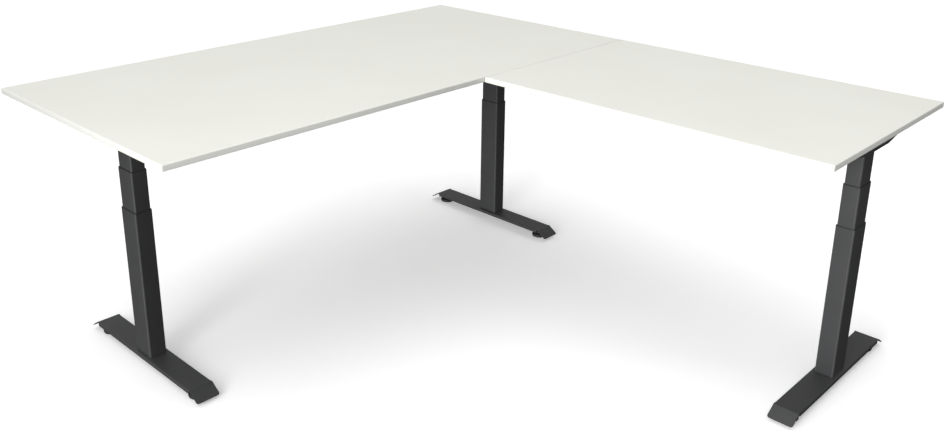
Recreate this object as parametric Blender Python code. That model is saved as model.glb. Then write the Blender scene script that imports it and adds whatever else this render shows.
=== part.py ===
"""Electric sit-stand desk: an L-shaped worktop carried by three three-stage lifting columns.

Metres, +Z up. The main top runs along X and the return top reaches out from it towards -Y. The origin is on
the floor, under the middle of the whole desk. Each leg is drawn in a frame of its own: x along the foot, the
motor on the +x side, and z up the column's axis.
"""

import math

import bmesh
import bpy
from mathutils import Matrix, Vector

GAP = 0.0003

# Worktops
TOP_HEIGHT = 0.855
TOP_THICKNESS = 0.018
MAIN_LENGTH = 2.000
MAIN_DEPTH = 1.000
RETURN_WIDTH = 0.800
RETURN_LENGTH = 1.200
BAND_THICKNESS = 0.002
BAND_RADIUS = 0.0018
BAND_CORNER = 0.0035

# Where the legs stand: name, column axis, turn of the foot, and the side of it (-1 or 1, along y) that its
# rails and its cable leave from
LEGS = (
    ("left", (-0.8316, 0.600), math.radians(90), -1),
    ("corner", (0.815, 0.600), math.radians(90), 1),
    ("right", (0.610, -1.014), 0.0, 1),
)

# Foot: a folded sheet with its ends bent down
FOOT_FLAT_LENGTH = 0.589
FOOT_WIDTH = 0.079
FOOT_TOP = 0.040
FOOT_SHEET = 0.003
FOOT_BEND_RADIUS = 0.003
FLANGE_LENGTH = 0.574
FLANGE_DEPTH = 0.0125
FLAP_RUN = 0.040
FLAP_DROP = 0.026
FLAP_CORNER = 0.007
FLAP_BEND_RADIUS = 0.009

# Levellers: a plastic disc on an M8 stud
LEVELLER_OFFSET = 0.272
LEVELLER_RADIUS = 0.029
LEVELLER_DISC = 0.012
LEVELLER_SOLE = 0.0015
LEVELLER_CROWN = 0.004
LEVELLER_HUB = (0.009, 0.002)
STUD_RADIUS = 0.004
STUD_TOP = 0.0335
BUSH_RADIUS = 0.008
BUSH_BOTTOM = 0.022
BORE_CLEARANCE = 0.0004

# Columns, outer stage to inner stage: length along the foot, width across it
OUTER_SIZE = (0.088, 0.058)
STAGE_STEP = 0.0028
TUBE_WALL = 0.0015
TUBE_RADIUS = 0.005
OUTER_STAGE_TOP = 0.540
BASE_PLATE = 0.008
MID_TUBE_BOTTOM = 0.177
MID_STAGE_TOP = 0.672
MID_FLOOR = 0.006
INNER_TUBE_BOTTOM = 0.290
NUT_BLOCK = 0.025
GLIDE_HEIGHT = 0.050
GLIDE_LIP = 0.002
GLIDE_CHAMFER = 0.0007
BASE_SCREWS = ((-0.030, -0.016), (0.030, -0.016), (0.030, 0.016), (-0.030, 0.016))
BASE_SCREW_RADIUS = 0.004

# Lifting screws, one inside the other; flanges and collars are (radius, height)
LOWER_SCREW_FLANGE = (0.012, 0.003)
LOWER_SCREW_RADIUS = 0.007
LOWER_SCREW_TOP = 0.460
DRIVE_TUBE_RADIUS = 0.009
DRIVE_TUBE_BOTTOM = 0.397
DRIVE_TUBE_TOP = 0.800
MID_SCREW_RADIUS = 0.012
MID_SCREW_TOP = 0.600
MID_SCREW_NUT = 0.028
MID_SCREW_NECK = 0.010
MID_SCREW_COLLAR = (0.016, 0.004)
MID_SCREW_PLAY = 0.0005

# Side bracket over each column, with the gearbox and the motor inside it
BRACKET_WIDTH = 0.062
BRACKET_SHEET = 0.003
BRACKET_DEPTH = 0.065
BRACKET_HALF_LENGTH = 0.320
BRACKET_FLAT = (-0.050, 0.120)
BRACKET_TAPER = math.radians(10.6)
BRACKET_FOLD = 0.003
HEAD_PLATE_LENGTH = 0.100
HEAD_PLATE = 0.003
HEAD_PLATE_CORNER = 0.004
GEARBOX_SIZE = (0.084, 0.054)
GEARBOX_CORNER = 0.008
GEARBOX_BEVEL = 0.003
GEARBOX_TOP = 0.829
MOTOR_RADIUS = 0.023
MOTOR_AXIS = 0.803
MOTOR_END = 0.155
MOTOR_NECK = (0.020, 0.006)
MOTOR_CAP = (0.021, 0.008)
BRACKET_SCREWS = (-0.280, -0.100, 0.220, 0.290)
CABLE_HOLE = (0.185, 0.826)
CABLE_HOLE_RADIUS = 0.0055

# Rails between the brackets
RAIL_OFFSET = 0.130
RAIL_WIDTH = 0.040
RAIL_DEPTH = 0.028
RAIL_DROP = 0.010
RAIL_SHEET = 0.002
RAIL_FOLD = 0.002
RAIL_END_PLATE = 0.0025
RAIL_BOLT_RADIUS = 0.003

# Plate under the seam between the tops
PLATE_SIZE = (0.680, 0.120)
PLATE_SHEET = 0.003
PLATE_CORNER = 0.006
PLATE_SCREWS_ALONG = (-0.310, -0.190, 0.0, 0.190, 0.310)
PLATE_SCREWS_ACROSS = 0.045

# Wood screws
WOOD_SCREW_RADIUS = 0.0025

# Control box, with its mains inlet, and the handset
BOX_PLACE = (-0.200, 0.600)
BOX_SIZE = (0.280, 0.110, 0.042)
BOX_CORNER = 0.006
BOX_SOFT = 0.003
BOX_EAR = 0.020
BOX_EAR_WIDTH = 0.040
BOX_EAR_CORNER = 0.008
INLET_SIZE = (0.027, 0.020)
INLET_DEPTH = 0.016
HANDSET_PLACE = (-0.350, 0.1775)
HANDSET_SIZE = (0.100, 0.055, 0.018)
HANDSET_CORNER = 0.005
HANDSET_SOFT = 0.002
BUTTON_SPACING = 0.032
BUTTON_SIZE = (0.0160, 0.0090)
BUTTON_PROUD = 0.0015
BUTTON_DEPTH = 0.0030
BUTTON_CORNER = 0.002
BUTTON_CROWN = 0.0005
BUTTON_MARGIN = 0.0004
POCKET_DEPTH = 0.0045

# Cables
CABLE_GAP = 0.0006
CABLE_STEP = 0.018
MOST_PER_SPAN = 7
MOTOR_CABLE_RADIUS = 0.003
HANDSET_CABLE_RADIUS = 0.002

# How far a cutter runs past the faces that it opens
PAST = 0.010

# What follows from the sizes above
UNDERSIDE = TOP_HEIGHT - TOP_THICKNESS
FIXED_TOP = UNDERSIDE - GAP
BRACKET_BOTTOM = UNDERSIDE - BRACKET_DEPTH
WEB_UNDERSIDE = FIXED_TOP - BRACKET_SHEET
TUBE_BASE = FOOT_TOP + GAP
PLATE_TOP = TUBE_BASE + BASE_PLATE
OUTER_TUBE_TOP = OUTER_STAGE_TOP - GLIDE_LIP - GAP
MID_TUBE_TOP = MID_STAGE_TOP - GLIDE_LIP - GAP
MID_SIZE = tuple(size - 2 * STAGE_STEP for size in OUTER_SIZE)
INNER_SIZE = tuple(size - 2 * STAGE_STEP for size in MID_SIZE)
HEAD_PLATE_TOP = BRACKET_BOTTOM + GAP + HEAD_PLATE
RAIL_TOP = FIXED_TOP - RAIL_DROP
RAIL_BOLT_HEIGHT = RAIL_TOP - RAIL_DEPTH / 2
SEAM = MAIN_DEPTH / 2 + RETURN_LENGTH / 2 - MAIN_DEPTH
MAIN_BACK = SEAM + MAIN_DEPTH
ALONG_X = Matrix.Rotation(math.radians(90), 4, "Y")
ALONG_Y = Matrix.Rotation(math.radians(-90), 4, "X")
STANDING = Matrix.Rotation(math.radians(90), 4, "X")


def circle(radius, count):
    """The points of a circle about the origin."""
    turns = [math.tau * i / count for i in range(count)]
    return [(radius * math.cos(turn), radius * math.sin(turn)) for turn in turns]


def rounded(length, width, radius, steps=3):
    """The points of a rectangle about the origin, its corners rounded."""
    points = []
    for quarter, (side_x, side_y) in enumerate(((1, 1), (-1, 1), (-1, -1), (1, -1))):
        centre = Vector((side_x * (length / 2 - radius), side_y * (width / 2 - radius)))
        for i in range(steps + 1):
            angle = math.radians(90) * (quarter + i / steps)
            points.append(tuple(centre + radius * Vector((math.cos(angle), math.sin(angle)))))
    return points


def skin(bm, sections, at=None, ring=False):
    """A closed solid over sections, each (outline, height), all with as many points.

    A ring joins its last section to its first, and has no end faces.
    """
    place = at or Matrix()
    loops = []
    for outline, height in sections:
        loops.append([bm.verts.new(place @ Vector((x, y, height))) for x, y in outline])
    pairs = list(zip(loops, loops[1:]))
    if ring:
        pairs.append((loops[-1], loops[0]))
    else:
        bm.faces.new(loops[0])
        bm.faces.new(loops[-1])
    for lower, upper in pairs:
        for i in range(len(lower)):
            following = (i + 1) % len(lower)
            bm.faces.new((lower[i], lower[following], upper[following], upper[i]))


def turned(bm, profile, count, at=None):
    """A solid of revolution about z, from a profile of (radius, height) with a flat at each end."""
    skin(bm, [(circle(radius, count), height) for radius, height in profile], at)


def sleeve(bm, profile, count, at=None):
    """A hollow solid of revolution: the profile goes all the way round its wall."""
    skin(bm, [(circle(radius, count), height) for radius, height in profile], at, ring=True)


def block(bm, low, high):
    """A plain box between two corners."""
    outline = [(low[0], low[1]), (high[0], low[1]), (high[0], high[1]), (low[0], high[1])]
    skin(bm, [(outline, low[2]), (outline, high[2])])


def extruded(bm, outline, half_width):
    """A solid of one outline in x and z, as wide to both sides of y = 0."""
    skin(bm, [(outline, -half_width), (outline, half_width)], STANDING)


def material(name, colour, roughness, metallic=0.0):
    made = bpy.data.materials.new(name)
    made.use_nodes = True
    shader = made.node_tree.nodes["Principled BSDF"]
    shader.inputs["Base Color"].default_value = (*colour, 1.0)
    shader.inputs["Roughness"].default_value = roughness
    shader.inputs["Metallic"].default_value = metallic
    made.diffuse_color = (*colour, 1.0)
    return made


def placed(name, bm, parent, origin):
    bmesh.ops.recalc_face_normals(bm, faces=bm.faces)
    mesh = bpy.data.meshes.new(name)
    bm.to_mesh(mesh)
    bm.free()
    made = bpy.data.objects.new(name, mesh)
    made.parent = parent
    made.location = origin
    bpy.context.scene.collection.objects.link(made)
    return made


def piece(name, bm, finish, parent=None, origin=(0, 0, 0)):
    """One sub-part of the desk. Its origin is measured in its parent's frame."""
    made = placed(name, bm, parent, origin)
    made.data.materials.append(finish)
    made.data.shade_smooth()
    made.data.set_sharp_from_angle(angle=math.radians(35))
    return made


def combine(target, bm, operation, suffix):
    """Joins a shape to a piece, or cuts it away."""
    tool = placed(f"{target.name}_{suffix}", bm, target, (0, 0, 0))
    tool.hide_render = True
    tool.display_type = "WIRE"
    step = target.modifiers.new(suffix, "BOOLEAN")
    step.operation = operation
    step.solver = "EXACT"
    step.object = tool


def empty(name, place, turn=0.0):
    made = bpy.data.objects.new(name, None)
    made.location = (*place, 0.0)
    made.rotation_euler = (0.0, 0.0, turn)
    made.empty_display_size = 0.1
    bpy.context.scene.collection.objects.link(made)
    return made


def flap_outline(side):
    """The bent-down end of a foot seen from its side, as thick as the sheet."""
    bend = FOOT_FLAT_LENGTH / 2
    start = FLANGE_LENGTH / 2 - 0.001
    slope = math.atan2(FLAP_DROP, FLAP_RUN)
    radius = FLAP_BEND_RADIUS
    centre = Vector((bend - radius * math.tan(slope / 2), FOOT_TOP - radius))
    turns = [math.radians(90) - slope * i / 3 for i in range(4)]
    rays = [Vector((math.cos(turn), math.sin(turn))) for turn in turns]
    tip = Vector((bend + FLAP_RUN, FOOT_TOP - FLAP_DROP))
    upper = [Vector((start, FOOT_TOP)), *(centre + ray * radius for ray in rays), tip]
    lower = [Vector((start, FOOT_TOP - FOOT_SHEET)), *(centre + ray * (radius - FOOT_SHEET) for ray in rays)]
    lower.append(tip - rays[-1] * FOOT_SHEET)
    return [(side * point.x, point.y) for point in [*upper, *reversed(lower)]]


def foot(side, finish, leg):
    """The folded foot, with a bush welded under each end for its leveller."""
    half = FOOT_WIDTH / 2
    inside = half - FOOT_SHEET
    low = FOOT_TOP - FLANGE_DEPTH
    steps = 3
    corner = [math.radians(90) * i / steps for i in range(steps + 1)]
    bend = [
        (half - FOOT_BEND_RADIUS * (1 - math.cos(a)), FOOT_TOP - FOOT_BEND_RADIUS * (1 - math.sin(a)))
        for a in corner
    ]
    right_half = [(inside, FOOT_TOP - FOOT_SHEET), (inside, low), (half, low), *bend]
    section = right_half + [(-y, z) for y, z in reversed(right_half)]
    bm = bmesh.new()
    lengthwise = Matrix.Rotation(math.radians(90), 4, "Z") @ STANDING
    skin(bm, [(section, -FLANGE_LENGTH / 2), (section, FLANGE_LENGTH / 2)], lengthwise)
    made = piece(f"{side}_foot", bm, finish, leg)

    for end, name in ((-1, "front_flap"), (1, "back_flap")):
        bm = bmesh.new()
        extruded(bm, flap_outline(end), half)
        near_tip = FOOT_FLAT_LENGTH / 2 + FLAP_RUN - FOOT_SHEET
        corners = []
        for edge in bm.edges:
            first, second = (vertex.co for vertex in edge.verts)
            at_tip = min(end * first.x, end * second.x) > near_tip
            if at_tip and abs(first.y - second.y) < GAP:
                corners.append(edge)
        bmesh.ops.bevel(bm, geom=corners, offset=FLAP_CORNER, segments=4, profile=0.5, affect="EDGES")
        combine(made, bm, "UNION", name)

    bm = bmesh.new()
    for end in (-1, 1):
        at = Matrix.Translation((end * LEVELLER_OFFSET, 0, 0))
        turned(bm, [(BUSH_RADIUS, BUSH_BOTTOM), (BUSH_RADIUS, FOOT_TOP - FOOT_SHEET / 2)], 12, at)
    combine(made, bm, "UNION", "bushes")

    bm = bmesh.new()
    hole = STUD_RADIUS + BORE_CLEARANCE
    for end in (-1, 1):
        at = Matrix.Translation((end * LEVELLER_OFFSET, 0, 0))
        turned(bm, [(hole, BUSH_BOTTOM - PAST), (hole, FOOT_TOP - FOOT_SHEET)], 12, at)
    hole = BASE_SCREW_RADIUS + BORE_CLEARANCE
    for x, y in BASE_SCREWS:
        turned(bm, [(hole, low), (hole, FOOT_TOP + PAST)], 12, Matrix.Translation((x, y, 0)))
    combine(made, bm, "DIFFERENCE", "holes")


def levellers(side, finish, leg):
    """The two adjustable feet, each a domed disc with its stud."""
    hub, hub_height = LEVELLER_HUB
    profile = [
        (LEVELLER_RADIUS - LEVELLER_SOLE, 0.0),
        (LEVELLER_RADIUS, LEVELLER_SOLE),
        (LEVELLER_RADIUS, LEVELLER_DISC - LEVELLER_CROWN),
        (LEVELLER_RADIUS - LEVELLER_CROWN, LEVELLER_DISC),
        (hub, LEVELLER_DISC),
        (hub, LEVELLER_DISC + hub_height),
        (STUD_RADIUS, LEVELLER_DISC + hub_height),
        (STUD_RADIUS, STUD_TOP),
    ]
    for end, name in ((-1, "front"), (1, "back")):
        bm = bmesh.new()
        turned(bm, profile, 20)
        piece(f"{side}_leveller_{name}", bm, finish, leg, (end * LEVELLER_OFFSET, 0, 0))


def tube(name, size, bottom, top, floor, finish, leg):
    """A column stage: a rounded rectangular tube, closed by a floor at its lower end."""
    radius = TUBE_RADIUS
    outer = rounded(*size, radius)
    inner = rounded(size[0] - 2 * TUBE_WALL, size[1] - 2 * TUBE_WALL, radius - TUBE_WALL)
    bm = bmesh.new()
    skin(bm, [(outer, bottom), (outer, top), (inner, top), (inner, bottom + floor)])
    return piece(name, bm, finish, leg)


def bored(target, radius, low, high, places=((0, 0),), count=16):
    """Round holes along z through a piece."""
    bm = bmesh.new()
    for x, y in places:
        turned(bm, [(radius, low), (radius, high)], count, Matrix.Translation((x, y, 0)))
    combine(target, bm, "DIFFERENCE", "bores")


def glide(name, stage, tube_top, finish, leg):
    """The plastic sleeve that a stage slides in. It lines the next tube's mouth and laps over its end."""
    clearance = STAGE_STEP - TUBE_WALL - GAP
    sleeve_side = rounded(stage[0] + 2 * clearance, stage[1] + 2 * clearance, TUBE_RADIUS - TUBE_WALL)
    wide = (stage[0] + 2 * STAGE_STEP, stage[1] + 2 * STAGE_STEP)
    lip = rounded(*wide, TUBE_RADIUS)
    lip_top = rounded(wide[0] - 2 * GLIDE_CHAMFER, wide[1] - 2 * GLIDE_CHAMFER, TUBE_RADIUS - GLIDE_CHAMFER)
    inner = rounded(stage[0] + 2 * GAP, stage[1] + 2 * GAP, TUBE_RADIUS)
    low = tube_top - GLIDE_HEIGHT
    lip_bottom = tube_top + GAP
    top = lip_bottom + GLIDE_LIP
    sections = [
        (sleeve_side, low),
        (sleeve_side, lip_bottom),
        (lip, lip_bottom),
        (lip, top - GLIDE_CHAMFER),
        (lip_top, top),
        (inner, top),
        (inner, low),
    ]
    bm = bmesh.new()
    skin(bm, sections, ring=True)
    piece(name, bm, finish, leg)


def lifting_screws(side, finish, leg):
    """The fixed lower screw, the hollow screw that turns about it, and the tube that drives the latter."""
    flange, flange_height = LOWER_SCREW_FLANGE
    foot_end = PLATE_TOP + GAP
    profile = [
        (flange, foot_end),
        (flange, foot_end + flange_height),
        (LOWER_SCREW_RADIUS, foot_end + flange_height),
        (LOWER_SCREW_RADIUS, LOWER_SCREW_TOP),
    ]
    bm = bmesh.new()
    turned(bm, profile, 12)
    piece(f"{side}_lower_screw", bm, finish, leg)

    bore = LOWER_SCREW_RADIUS + BORE_CLEARANCE
    wide_bore = DRIVE_TUBE_RADIUS + BORE_CLEARANCE
    collar, collar_height = MID_SCREW_COLLAR
    start = MID_TUBE_BOTTOM + MID_SCREW_PLAY
    seat = MID_TUBE_BOTTOM + MID_FLOOR + GAP
    nut_top = MID_TUBE_BOTTOM + MID_SCREW_NUT
    bm = bmesh.new()
    profile = [
        (bore, start),
        (MID_SCREW_NECK, start),
        (MID_SCREW_NECK, seat),
        (collar, seat),
        (collar, seat + collar_height),
        (MID_SCREW_RADIUS, seat + collar_height),
        (MID_SCREW_RADIUS, MID_SCREW_TOP),
        (wide_bore, MID_SCREW_TOP),
        (wide_bore, nut_top),
        (bore, nut_top),
    ]
    sleeve(bm, profile, 16)
    piece(f"{side}_mid_screw", bm, finish, leg)

    bm = bmesh.new()
    profile = [
        (bore, DRIVE_TUBE_BOTTOM),
        (DRIVE_TUBE_RADIUS, DRIVE_TUBE_BOTTOM),
        (DRIVE_TUBE_RADIUS, DRIVE_TUBE_TOP),
        (bore, DRIVE_TUBE_TOP),
    ]
    sleeve(bm, profile, 16)
    piece(f"{side}_drive_tube", bm, finish, leg)


def column(side, finishes, leg):
    """The three telescoping stages, with their glides and their screws."""
    coat, plastic, steel = finishes
    outer = tube(f"{side}_outer_tube", OUTER_SIZE, TUBE_BASE, OUTER_TUBE_TOP, BASE_PLATE, coat, leg)
    hole = BASE_SCREW_RADIUS + BORE_CLEARANCE
    bored(outer, hole, TUBE_BASE - PAST, PLATE_TOP + PAST, BASE_SCREWS, 12)
    glide(f"{side}_outer_glides", MID_SIZE, OUTER_TUBE_TOP, plastic, leg)

    middle = tube(f"{side}_mid_tube", MID_SIZE, MID_TUBE_BOTTOM, MID_TUBE_TOP, MID_FLOOR, coat, leg)
    hole = MID_SCREW_NECK + BORE_CLEARANCE
    bored(middle, hole, MID_TUBE_BOTTOM - PAST, MID_TUBE_BOTTOM + MID_FLOOR + PAST)
    glide(f"{side}_mid_glides", INNER_SIZE, MID_TUBE_TOP, plastic, leg)

    plate_bottom = BRACKET_BOTTOM + GAP
    tube_end = plate_bottom + HEAD_PLATE / 2
    inner = tube(f"{side}_inner_tube", INNER_SIZE, INNER_TUBE_BOTTOM, tube_end, NUT_BLOCK, coat, leg)
    bm = bmesh.new()
    width = BRACKET_WIDTH - 2 * BRACKET_SHEET - 2 * GAP
    plate = rounded(HEAD_PLATE_LENGTH, width, HEAD_PLATE_CORNER)
    skin(bm, [(plate, plate_bottom), (plate, HEAD_PLATE_TOP)])
    combine(inner, bm, "UNION", "head_plate")
    hole = MID_SCREW_RADIUS + BORE_CLEARANCE
    bored(inner, hole, INNER_TUBE_BOTTOM - PAST, HEAD_PLATE_TOP + PAST)
    lifting_screws(side, steel, leg)


def drive(side, finishes, leg):
    """The gearbox on the column's head plate, and the motor on its side."""
    cast, motor_paint = finishes
    low = HEAD_PLATE_TOP + GAP
    bevel = GEARBOX_BEVEL
    body = rounded(*GEARBOX_SIZE, GEARBOX_CORNER)
    lid = rounded(GEARBOX_SIZE[0] - 2 * bevel, GEARBOX_SIZE[1] - 2 * bevel, GEARBOX_CORNER - bevel)
    bm = bmesh.new()
    skin(bm, [(body, low), (body, GEARBOX_TOP - bevel), (lid, GEARBOX_TOP)])
    gearbox = piece(f"{side}_gearbox", bm, cast, leg)
    bored(gearbox, DRIVE_TUBE_RADIUS + BORE_CLEARANCE, low - PAST, DRIVE_TUBE_TOP + GAP)

    start = GEARBOX_SIZE[0] / 2 + GAP
    neck, neck_length = MOTOR_NECK
    cap, cap_length = MOTOR_CAP
    profile = [
        (neck, start),
        (neck, start + neck_length),
        (MOTOR_RADIUS, start + neck_length),
        (MOTOR_RADIUS, MOTOR_END - cap_length - MOTOR_RADIUS + cap),
        (cap, MOTOR_END - cap_length),
        (cap, MOTOR_END),
    ]
    bm = bmesh.new()
    turned(bm, profile, 20, Matrix.Translation((0, 0, MOTOR_AXIS)) @ ALONG_X)
    piece(f"{side}_motor", bm, motor_paint, leg)


def top_edges(bm, height, shortest):
    """The edges at a shape's top that run along x for more than a shortest length."""
    chosen = []
    for edge in bm.edges:
        first, second = (vertex.co for vertex in edge.verts)
        if min(first.z, second.z) > height - GAP and abs(first.x - second.x) > shortest:
            chosen.append(edge)
    return chosen


def side_bracket(side, out, finish, leg):
    """The folded cover over the head of a column: a channel open below, with tapering ends."""
    slope = math.tan(BRACKET_TAPER)
    near, far = BRACKET_FLAT
    end = BRACKET_HALF_LENGTH
    outline = [
        (-end, FIXED_TOP),
        (-end, BRACKET_BOTTOM + (end + near) * slope),
        (near, BRACKET_BOTTOM),
        (far, BRACKET_BOTTOM),
        (end, BRACKET_BOTTOM + (end - far) * slope),
        (end, FIXED_TOP),
    ]
    bm = bmesh.new()
    extruded(bm, outline, BRACKET_WIDTH / 2)
    folds = top_edges(bm, FIXED_TOP, end)
    bmesh.ops.bevel(bm, geom=folds, offset=BRACKET_FOLD, segments=2, profile=0.5, affect="EDGES")
    made = piece(f"{side}_side_bracket", bm, finish, leg)

    bm = bmesh.new()
    wall = BRACKET_WIDTH / 2 - BRACKET_SHEET
    block(bm, (-end - PAST, -wall, BRACKET_BOTTOM - PAST), (end + PAST, wall, WEB_UNDERSIDE))
    combine(made, bm, "DIFFERENCE", "channel")

    bm = bmesh.new()
    across = Matrix.Translation((0, out * BRACKET_WIDTH / 2, 0)) @ ALONG_Y
    reach = BRACKET_SHEET * 2
    hole = RAIL_BOLT_RADIUS + BORE_CLEARANCE
    for x, z, radius in (
        (-RAIL_OFFSET, RAIL_BOLT_HEIGHT, hole),
        (RAIL_OFFSET, RAIL_BOLT_HEIGHT, hole),
        (*CABLE_HOLE, CABLE_HOLE_RADIUS),
    ):
        at = Matrix.Translation((x, 0, z)) @ across
        turned(bm, [(radius, -reach), (radius, reach)], 12, at)
    hole = WOOD_SCREW_RADIUS + BORE_CLEARANCE
    for x in BRACKET_SCREWS:
        turned(bm, [(hole, WEB_UNDERSIDE - PAST), (hole, FIXED_TOP + PAST)], 8, Matrix.Translation((x, 0, 0)))
    combine(made, bm, "DIFFERENCE", "holes")


def rail(name, start, end, finish, side_holes=()):
    """A channel from start to end, open below, with a bolted plate at each end and bolt holes in its side."""
    run = Vector(end) - Vector(start)
    length = run.length
    turn = math.atan2(run.y, run.x)
    half = RAIL_WIDTH / 2
    low = RAIL_TOP - RAIL_DEPTH
    bm = bmesh.new()
    block(bm, (0, -half, low), (length, half, RAIL_TOP))
    folds = top_edges(bm, RAIL_TOP, RAIL_WIDTH)
    bmesh.ops.bevel(bm, geom=folds, offset=RAIL_FOLD, segments=2, profile=0.5, affect="EDGES")
    made = piece(name, bm, finish, None, (start[0], start[1], 0))
    made.rotation_euler = (0, 0, turn)

    inside = half - RAIL_SHEET
    bm = bmesh.new()
    block(bm, (RAIL_END_PLATE, -inside, low - PAST), (length - RAIL_END_PLATE, inside, RAIL_TOP - RAIL_SHEET))
    combine(made, bm, "DIFFERENCE", "channel")

    bm = bmesh.new()
    hole = RAIL_BOLT_RADIUS + BORE_CLEARANCE
    for x in (0, length):
        at = Matrix.Translation((x, 0, RAIL_BOLT_HEIGHT)) @ ALONG_X
        turned(bm, [(hole, -RAIL_SHEET * 3), (hole, RAIL_SHEET * 3)], 12, at)
    for x in side_holes:
        at = Matrix.Translation((x, -half, RAIL_BOLT_HEIGHT)) @ ALONG_Y
        turned(bm, [(hole, -RAIL_SHEET * 2), (hole, RAIL_SHEET * 2)], 12, at)
    combine(made, bm, "DIFFERENCE", "holes")


def rail_places():
    """The ends of each rail: name, start, end, and where the return's rails bolt to its side."""
    (_, left, _, _), (_, corner, _, _), (_, right, _, _) = LEGS
    wall = BRACKET_WIDTH / 2 + GAP
    start = left[0] + wall
    stop = corner[0] - wall
    returns = [right[0] - RAIL_OFFSET, right[0] + RAIL_OFFSET]
    front = left[1] - RAIL_OFFSET
    back = left[1] + RAIL_OFFSET
    meeting = front - RAIL_WIDTH / 2 - GAP
    return [
        ("main_rail_front", (start, front), (stop, front), [x - start for x in returns]),
        ("main_rail_back", (start, back), (stop, back), []),
        ("return_rail_left", (returns[0], right[1] + wall), (returns[0], meeting), []),
        ("return_rail_right", (returns[1], right[1] + wall), (returns[1], meeting), []),
    ]


def leg_point(leg_place, turn, x, y):
    """A point of a leg's own frame, in the desk's."""
    spun = Matrix.Rotation(turn, 2) @ Vector((x, y))
    return (leg_place[0] + spun.x, leg_place[1] + spun.y)


def joining_plate(finish):
    """The flat plate screwed across the seam between the two tops."""
    bm = bmesh.new()
    outline = rounded(*PLATE_SIZE, PLATE_CORNER)
    skin(bm, [(outline, FIXED_TOP - PLATE_SHEET), (outline, FIXED_TOP)])
    made = piece("joining_plate", bm, finish, None, (MAIN_LENGTH / 2 - RETURN_WIDTH / 2, SEAM, 0))
    places = [(x, y) for x in PLATE_SCREWS_ALONG for y in (-PLATE_SCREWS_ACROSS, PLATE_SCREWS_ACROSS)]
    bored(made, WOOD_SCREW_RADIUS + BORE_CLEARANCE, FIXED_TOP - PAST, FIXED_TOP + PAST, places, 8)


def worktop(name, low, high, finish):
    """The board of one top, inside its edge band."""
    inset = BAND_THICKNESS + GAP
    size = (high[0] - low[0] - 2 * inset, high[1] - low[1] - 2 * inset)
    centre = ((low[0] + high[0]) / 2, (low[1] + high[1]) / 2)
    outline = [(x + centre[0], y + centre[1]) for x, y in rounded(*size, 0.001, 1)]
    bm = bmesh.new()
    skin(bm, [(outline, UNDERSIDE), (outline, TOP_HEIGHT)])
    piece(name, bm, finish)


def edge_band(name, low, high, finish):
    """The band glued round one top, its outer edges rounded."""
    soft = BAND_RADIUS
    half_soft = soft * (1 - math.sqrt(0.5))
    size = (high[0] - low[0], high[1] - low[1])

    def drawn_in(amount):
        return rounded(size[0] - 2 * amount, size[1] - 2 * amount, BAND_CORNER - amount, 2)

    sections = [
        (drawn_in(soft), UNDERSIDE),
        (drawn_in(half_soft), UNDERSIDE + half_soft),
        (drawn_in(0), UNDERSIDE + soft),
        (drawn_in(0), TOP_HEIGHT - soft),
        (drawn_in(half_soft), TOP_HEIGHT - half_soft),
        (drawn_in(soft), TOP_HEIGHT),
        (drawn_in(BAND_THICKNESS), TOP_HEIGHT),
        (drawn_in(BAND_THICKNESS), UNDERSIDE),
    ]
    bm = bmesh.new()
    skin(bm, sections, Matrix.Translation(((low[0] + high[0]) / 2, (low[1] + high[1]) / 2, 0)), ring=True)
    piece(name, bm, finish)


def control_box(finish):
    """The controller's case, with an ear at each end and the mains inlet in its left end."""
    length, width, height = BOX_SIZE
    soft = BOX_SOFT
    case = rounded(length, width, BOX_CORNER)
    floor = rounded(length - 2 * soft, width - 2 * soft, BOX_CORNER - soft)
    bm = bmesh.new()
    skin(bm, [(floor, FIXED_TOP - height), (case, FIXED_TOP - height + soft), (case, FIXED_TOP)])
    made = piece("control_box", bm, finish, None, (*BOX_PLACE, 0))

    bm = bmesh.new()
    ears = rounded(length + 2 * BOX_EAR, BOX_EAR_WIDTH, BOX_EAR_CORNER)
    skin(bm, [(ears, FIXED_TOP - PLATE_SHEET), (ears, FIXED_TOP)])
    combine(made, bm, "UNION", "ears")

    bm = bmesh.new()
    centre = FIXED_TOP - PLATE_SHEET - height / 2
    wide, high = INLET_SIZE
    block(
        bm,
        (-length / 2 - PAST, -wide / 2, centre - high / 2),
        (-length / 2 + INLET_DEPTH, wide / 2, centre + high / 2),
    )
    for side in (-1, 1):
        at = Matrix.Translation((side * (length + BOX_EAR) / 2, 0, 0))
        hole = WOOD_SCREW_RADIUS + BORE_CLEARANCE
        turned(bm, [(hole, FIXED_TOP - PAST), (hole, FIXED_TOP + PAST)], 8, at)
    combine(made, bm, "DIFFERENCE", "openings")


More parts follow.
